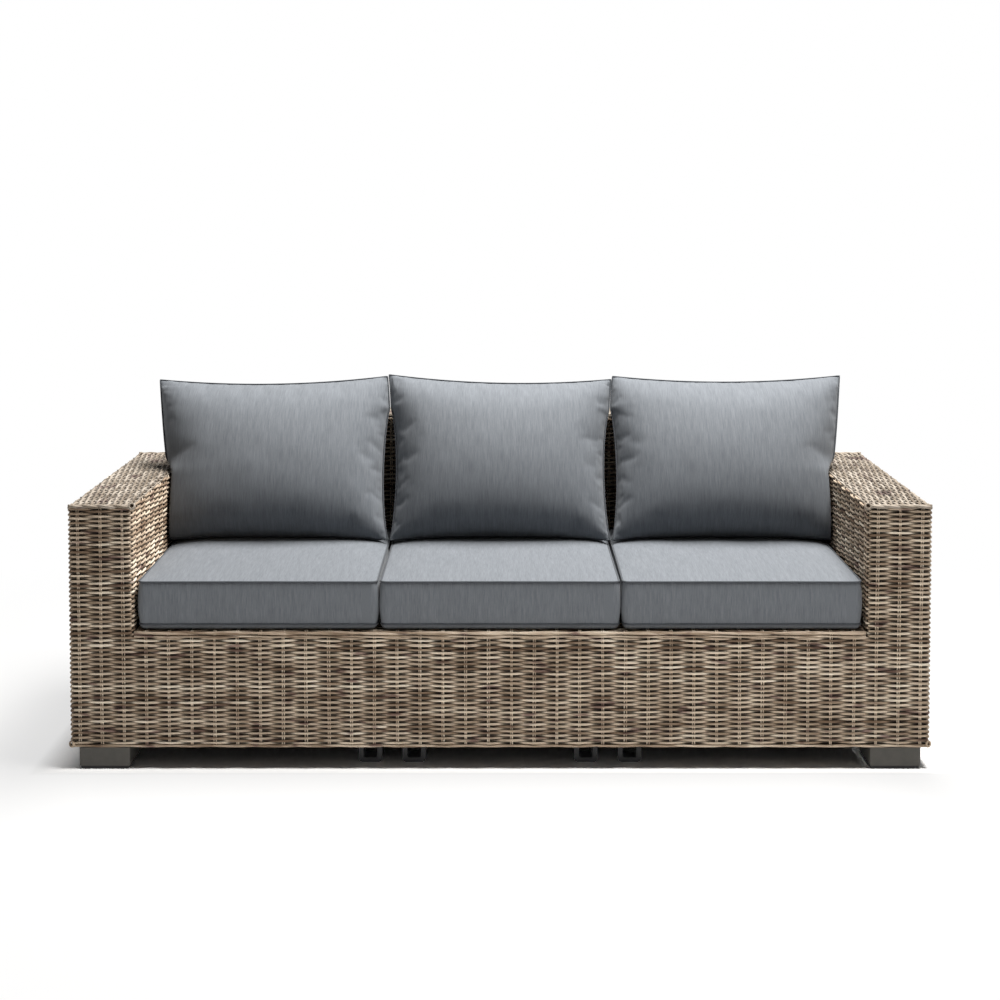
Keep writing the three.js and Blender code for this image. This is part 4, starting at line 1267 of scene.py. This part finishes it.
def pillow_surface(u, v, fan, seat_width, pitch):
    """A point of the pillow's face: across, swell and up, before it leans back."""
    left, right = pillow_sides((1 + v) / 2, fan, seat_width, pitch)
    half_up = BACK_HEIGHT / 2 - (BACK_FOOT_PULL if v < 0 else BACK_TOP_PULL) * (1 - u * u)
    if v > 0:
        left_lift, right_lift = BACK_CORNER_LIFTS[fan]
        half_up += (left_lift * (1 - u) + right_lift * (1 + u)) / 2
    full = ((1 - u * u) * (1 - v * v)) ** BACK_FULLNESS * (1 - BACK_SAG * v)
    across = (left + right) / 2 + u * (right - left) / 2
    return across, full * BACK_THICKNESS / 2 * BACK_START_SWELL, v * half_up


def inflate(obj, seam):
    """Blows a sewn cover up against its seams with the cloth simulation, and keeps the result."""
    start = read_points(obj)
    group = obj.vertex_groups.new(name="seam")
    group.add([int(i) for i in seam], 1.0, "REPLACE")
    modifier = obj.modifiers.new("cloth", "CLOTH")
    settings = modifier.settings
    settings.quality = 5
    settings.mass = 0.3
    settings.tension_stiffness = 15
    settings.compression_stiffness = 15
    settings.shear_stiffness = 5
    settings.bending_stiffness = 0.3
    settings.vertex_group_mass = "seam"
    settings.use_pressure = True
    settings.uniform_pressure_force = BACK_PRESSURE
    settings.shrink_min = -BACK_GROWTH
    settings.effector_weights.gravity = 0
    modifier.collision_settings.use_collision = False
    scene = bpy.context.scene
    for step in range(1, BACK_CLOTH_STEPS + 1):
        scene.frame_set(step)
    move = read_points(obj.evaluated_get(bpy.context.evaluated_depsgraph_get())) - start
    obj.modifiers.remove(modifier)
    scene.frame_set(1)
    reach = np.linalg.norm(move, axis=1, keepdims=True)
    move *= np.minimum(1, BACK_MOST_MOVE / np.maximum(reach, TINY))
    write_points(obj, start + move)


def read_points(obj):
    points = np.zeros(len(obj.data.vertices) * 3, np.float32)
    obj.data.vertices.foreach_get("co", points)
    return points.reshape(-1, 3)


def write_points(obj, points):
    obj.data.vertices.foreach_set("co", points.astype(np.float32).ravel())
    obj.data.update()


def ease_wrinkles(points, grids):
    """Softens the deep wrinkles that the inflation leaves beside the seams."""
    for grid in grids:
        swell = points[grid, 1]
        for _ in range(WRINKLE_EASING_ROUNDS):
            around = swell[:-2, 1:-1] + swell[2:, 1:-1] + swell[1:-1, :-2] + swell[1:-1, 2:]
            swell[1:-1, 1:-1] = (swell[1:-1, 1:-1] + around / 4) / 2
        points[grid, 1] = swell


def seam_pinches(points, source):
    """Depth of the short folds that run in from the seams of a pillow and fade out on its face."""
    along = np.column_stack([points[:, 0] - points[:, 2] * 0.3, points[:, 2] + points[:, 0] * 0.2])
    half_across = np.abs(points[:, 0]).max()
    half_up = np.abs(points[:, 2]).max()
    from_side = half_across - np.abs(points[:, 0])
    from_end = half_up - np.abs(points[:, 2])
    depth = np.zeros(len(points))
    for place, reach, strength in ((along[:, 1], from_side, 1.0), (along[:, 0], from_end, 0.5)):
        fold = smooth_noise(place[:, None], source, PINCH_WAVE)
        length = PINCH_LENGTH * (1 + 0.5 * smooth_noise(place[:, None], source, 3 * PINCH_WAVE))
        fade = np.maximum(reach, 0) / np.maximum(length, PINCH_LENGTH / 4)
        depth += strength * PINCH_DEPTH * np.maximum(0, fold) ** 2 * fade * np.exp(1 - fade)
    return depth * (np.abs(points[:, 1]) > SEAM_SWELL)


def closer_at_ends(n, count):
    """Place of a grid line from -1 to 1, with the lines closer together towards both ends."""
    return EVEN_SHARE * (2 * n / count - 1) + ROUND_SHARE * math.sin((n / count - 0.5) * math.pi)


def pillow_mesh(fan, seat_width, pitch):
    """Two faces that share their rim, with the numbers of the points of each face and of the seam."""
    columns, rows = BACK_COLUMNS, BACK_ROWS
    cushion = Cushion()
    grids = np.zeros((2, rows + 1, columns + 1), int)
    for grid, face in zip(grids, (-1, 1)):
        for j, i in np.ndindex(grid.shape):
            if face > 0 and (i in (0, columns) or j in (0, rows)):
                grid[j, i] = grids[0, j, i]
                continue
            u, v = closer_at_ends(i, columns), closer_at_ends(j, rows)
            across, swell, up = pillow_surface(u, v, fan, seat_width, pitch)
            grid[j, i] = len(cushion.verts)
            cushion.verts.append((across, face * swell, up))
            cushion.cloth.append((across + BACK_CLOTH_OFFSET * face, up, 0.0))
        quads = np.stack([grid[:-1, :-1], grid[:-1, 1:], grid[1:, 1:], grid[1:, :-1]], axis=-1).reshape(-1, 4)
        cushion.faces.extend(quads if face < 0 else quads[:, ::-1])
    front = grids[0]
    seam = np.concatenate([front[0, :-1], front[:-1, -1], front[-1, :0:-1], front[:0:-1, 0]])
    return cushion, grids, seam


def lean_back(points):
    """Leans a pillow back, with its face settled towards the foot."""
    cos, sin = math.cos(BACK_RECLINE), math.sin(BACK_RECLINE)
    across, out, up = points.T
    sag = np.where(out < 0, np.clip(0.5 - up / BACK_HEIGHT, 0, 1), 0.0)
    settled = 1 - BACK_FOOT_SETTLE * sag
    return np.column_stack([across, out * cos + up * sin, up * cos - out * sin * settled])


def soft_floor(values, floor):
    """Keeps values above a floor, easing into it so that the cloth flattens where it rests."""
    over = values - floor
    return floor + np.where(over > SETTLE_EASE, over,
                            SETTLE_EASE * np.exp(np.minimum(0, (over - SETTLE_EASE) / SETTLE_EASE)))


def press_pillow(points, fan, rear, seat_low, seat_high):
    """Rests a leaning pillow on its crowned seat, beside its arm and against the woven back."""
    across = points[:, 0] - (seat_low.x + seat_high.x) / 2
    along = points[:, 1] - (seat_low.y + seat_high.y) / 2
    crown = seat_crown(across, along, (seat_high.x - seat_low.x) / 2, (seat_high.y - seat_low.y) / 2)
    points[:, 2] = soft_floor(points[:, 2], seat_high.z - SEAT_CROWN + crown + SEAM_CLEARANCE)
    if fan:
        above = np.maximum(0, points[:, 2] - ARM_TOP - BACK_ARM_LIFT)
        room = ARM_INNER - SEAM_CLEARANCE + above * BACK_ARM_SLOPE
        points[:, 0] = -fan * soft_floor(-fan * points[:, 0], -room)
    points[:, 1] = -soft_floor(-points[:, 1], -rear)


def build_back_cushion(place, fabric, cord_fabric):
    """Knife-edge pillow: two faces sewn at a piped seam, blown up, leaned back and settled on the seat."""
    name = f"back_cushion_{place}"
    low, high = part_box(name)
    seat_low, seat_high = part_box(f"seat_cushion_{place}")
    seat_width = seat_high.x - seat_low.x
    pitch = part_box("seat_cushion_right")[0].x + seat_width / 2
    number = PLACES.index(place)
    fan = number - 1
    source = rng(7000 + number)
    cushion, grids, seam = pillow_mesh(fan, seat_width, pitch)
    obj = cushion.finish(f"{name}_cover", fabric)
    points = np.array(cushion.verts)
    ripple = BACK_RIPPLE * smooth_noise(points, source, BACK_RIPPLE_WAVE)
    points[:, 1] += np.where(np.abs(points[:, 1]) > TINY, ripple, 0.0)
    write_points(obj, points)
    inflate(obj, seam)
    points = read_points(obj).astype(float)
    ease_wrinkles(points, grids)
    points[:, 1] -= np.sign(points[:, 1]) * seam_pinches(points, source)
    lean_cos, lean_sin = math.cos(BACK_RECLINE), math.sin(BACK_RECLINE)
    leant = lean_back(points)
    leant[:, 0] += (seat_low.x + seat_high.x) / 2
    leant[:, 1] += high.y - SEAM_CLEARANCE - leant[seam, 1].max()
    leant[:, 2] += high.z + max(BACK_CORNER_LIFTS[fan]) * lean_cos - leant[seam, 2].max()
    press_pillow(leant, fan, high.y, seat_low, seat_high)
    write_points(obj, leant)
    facing = np.array([0.0, -lean_cos, lean_sin])
    piping(f"{name}_piping", leant[seam], BACK_PIPING_RADIUS, name, cord_fabric, facing)
    smoother = obj.modifiers.new("smooth", "SUBSURF")
    smoother.levels = smoother.render_levels = 1
    place_padded(obj, name)


def fabric_material(name, shades):
    """Woven outdoor fabric: uneven threads run up it, with a fine weave in the bump and a soft sheen."""
    material, tree, shader = new_material(name)
    cloth = attribute(tree, "cloth", "Vector")
    slub = stretched_noise(tree, cloth, SLUB_STRETCH, 3.0, 0.6)
    broad = stretched_noise(tree, cloth, BROAD_STRETCH, 2.0, 0.6)
    thread = stretched_noise(tree, cloth, THREAD_STRETCH, 2.0, 0.6)
    level = maths(tree, "MULTIPLY", slub, 0.55)
    level = maths(tree, "ADD", level, maths(tree, "MULTIPLY", broad, 0.25))
    level = maths(tree, "ADD", level, maths(tree, "MULTIPLY", thread, 0.2))
    light, dark = shades
    halfway = tuple((a + b) / 2 for a, b in zip(light, dark))
    colour = ramp(tree, level, [(0.36, dark), (0.5, halfway), (0.64, light)])
    tree.links.new(colour, shader.inputs["Base Color"])
    set_inputs(shader, {"Roughness": 0.85, "Specular IOR Level": 0.25})
    set_inputs(shader, {"Sheen Weight": 0.12, "Sheen Roughness": 0.5})
    height = maths(tree, "ADD", maths(tree, "MULTIPLY", slub, 0.6), maths(tree, "MULTIPLY", thread, 0.4))
    bump(tree, shader, height, 0.35, THREAD_DEPTH)
    return material


def build_cushions():
    fabric = fabric_material("fabric", FABRIC_SHADES)
    cord_fabric = fabric_material("piping_fabric", PIPING_SHADES)
    for place in PLACES:
        build_seat_cushion(place, fabric, cord_fabric)
        build_back_cushion(place, fabric, cord_fabric)


build_cushions()


# Tubes and feet

def moulded_material(name, light, dark, roughness):
    """Moulded or painted surface: faint mottling, a fine grain and a slightly uneven gloss."""
    material, tree, shader = new_material(name)
    place = node(tree, "ShaderNodeTexCoord").outputs["Object"]
    mottle = stretched_noise(tree, place, MOULD_STRETCH, 3.0, 0.6)
    grain = stretched_noise(tree, place, GRAIN_STRETCH, 2.0, 0.5)
    tree.links.new(ramp(tree, mottle, [(0.35, dark), (0.65, light)]), shader.inputs["Base Color"])
    gloss = [(0.3, (roughness - 0.06,) * 3), (0.7, (roughness + 0.06,) * 3)]
    tree.links.new(ramp(tree, mottle, gloss), shader.inputs["Roughness"])
    bump(tree, shader, grain, 0.3, GRAIN_DEPTH)
    return material


def finish_kept_nodes():
    """The tubes and feet keep their CAD shapes and get their finishes here."""
    for finish, starts, light, dark, roughness in KEPT_FINISHES:
        material = moulded_material(finish, light, dark, roughness)
        for name, obj in nodes.items():
            if name.startswith(starts):
                for slot in obj.material_slots:
                    slot.material = material


finish_kept_nodes()


# Camera, lights and floor

def build_camera():
    data = bpy.data.cameras.new("camera")
    data.sensor_width = SENSOR_WIDTH
    data.lens = SENSOR_WIDTH * CAMERA_FOCAL_PIXELS / IMAGE_SIZE
    data.shift_y = CAMERA_SHIFT_PIXELS / IMAGE_SIZE
    data.clip_start = CAMERA_NEAR
    data.clip_end = CAMERA_FAR
    camera = add_object("camera", data)
    camera.location = (0.0, -HALF_DEPTH - CAMERA_DISTANCE, CAMERA_HEIGHT)
    camera.rotation_euler = (math.pi / 2 - CAMERA_PITCH, 0.0, 0.0)
    bpy.context.scene.camera = camera


def seen_rays(tree):
    """1 for the rays that show the background: from the camera, mirrored or through glass."""
    path = tree.nodes.new("ShaderNodeLightPath")
    mirrored = maths(tree, "MAXIMUM", path.outputs["Is Glossy Ray"], path.outputs["Is Transmission Ray"])
    return maths(tree, "MAXIMUM", path.outputs["Is Camera Ray"], mirrored)


def blend(tree, factor, first, second):
    made = tree.nodes.new("ShaderNodeMixShader")
    for socket, value in zip(made.inputs, (factor, first, second)):
        tree.links.new(value, socket)
    return made.outputs["Shader"]


def rise(tree, value, start, end, top=1.0):
    """Rises from 0 to a top value while another value goes from start to end."""
    made = tree.nodes.new("ShaderNodeMapRange")
    set_inputs(made, {"From Min": start, "From Max": end, "To Max": top})
    tree.links.new(value, made.inputs["Value"])
    return made.outputs["Result"]


def floor_material():
    """Plain for light; for the camera painted brighter under the sofa, mixed towards white beside it, which
    lightens the shadows there, and white further out.
    """
    material = bpy.data.materials.new("floor")
    tree, surface = empty_tree(material, "ShaderNodeOutputMaterial")
    plain = node(tree, "ShaderNodeBsdfDiffuse", Color=(FLOOR_SHADE, FLOOR_SHADE, FLOOR_SHADE, 1))
    seen = node(tree, "ShaderNodeBsdfDiffuse")
    white = node(tree, "ShaderNodeEmission", Color=(1, 1, 1, 1))
    place = tree.nodes.new("ShaderNodeNewGeometry").outputs["Position"]
    parts = node(tree, "ShaderNodeSeparateXYZ")
    tree.links.new(place, parts.inputs[0])
    across = maths(tree, "MULTIPLY", maths(tree, "ABSOLUTE", parts.outputs["X"]), 1 / HALF_WIDTH)
    along = maths(tree, "MULTIPLY", maths(tree, "ABSOLUTE", parts.outputs["Y"]), 1 / HALF_DEPTH)
    spread = maths(tree, "MAXIMUM", across, along)
    # Painted light: the seen floor is brighter under the sofa than beside it
    shade = ramp(tree, maths(tree, "MULTIPLY", spread, FLOOR_SPREAD_SHARE), [
        (FLOOR_UNDER_END, (FLOOR_UNDER_PAINTED_LIGHT,) * 3), (FLOOR_SEEN_START, (FLOOR_SEEN_SHADE,) * 3)])
    tree.links.new(shade, seen.inputs["Color"])
    # Partly painted light: beside the sofa the seen floor is mixed towards white, lightening its shadows
    lift = rise(tree, spread, FLOOR_LIFT_START, FLOOR_LIFT_END, FLOOR_LIFT)
    lifted = blend(tree, lift, seen.outputs["BSDF"], white.outputs["Emission"])
    far = node(tree, "ShaderNodeVectorMath", operation="LENGTH")
    tree.links.new(place, far.inputs[0])
    fade = rise(tree, far.outputs["Value"], FLOOR_FADE_START, FLOOR_FADE_END)
    faded = blend(tree, fade, lifted, white.outputs["Emission"])
    tree.links.new(blend(tree, seen_rays(tree), plain.outputs["BSDF"], faded), surface)
    return material


def build_floor():
    """Wide floor, seen as near white where it is lit, so that only its shadows show."""
    reach = FLOOR_REACH
    corners = [(-reach, -reach, 0), (reach, -reach, 0), (reach, reach, 0), (-reach, reach, 0)]
    floor = plain_object("floor", corners, [(0, 1, 2, 3)])
    floor.data.materials.append(floor_material())


def build_lights():
    """Soft light from above and a little to the right, and a surround that is bright where it is seen."""
    world = bpy.data.worlds.new("world")
    bpy.context.scene.world = world
    tree, surface = empty_tree(world, "ShaderNodeOutputWorld")
    lighting = node(tree, "ShaderNodeBackground", Strength=SKY_STRENGTH, Color=(1, 1, 1, 1))
    seen = node(tree, "ShaderNodeBackground", Strength=1.0, Color=(1, 1, 1, 1))
    tree.links.new(blend(tree, seen_rays(tree), lighting.outputs[0], seen.outputs[0]), surface)
    data = bpy.data.lights.new("key", "AREA")
    data.shape = "RECTANGLE"
    data.size, data.size_y = KEY_SIZE
    data.energy = KEY_POWER
    data.color = KEY_COLOUR
    lamp = add_object("key", data)
    lamp.location = KEY_PLACE
    lamp.rotation_euler = (Vector(KEY_TARGET) - Vector(KEY_PLACE)).to_track_quat("-Z", "Y").to_euler()


build_camera()
build_floor()
build_lights()
bpy.context.scene.view_settings.view_transform = "Standard"
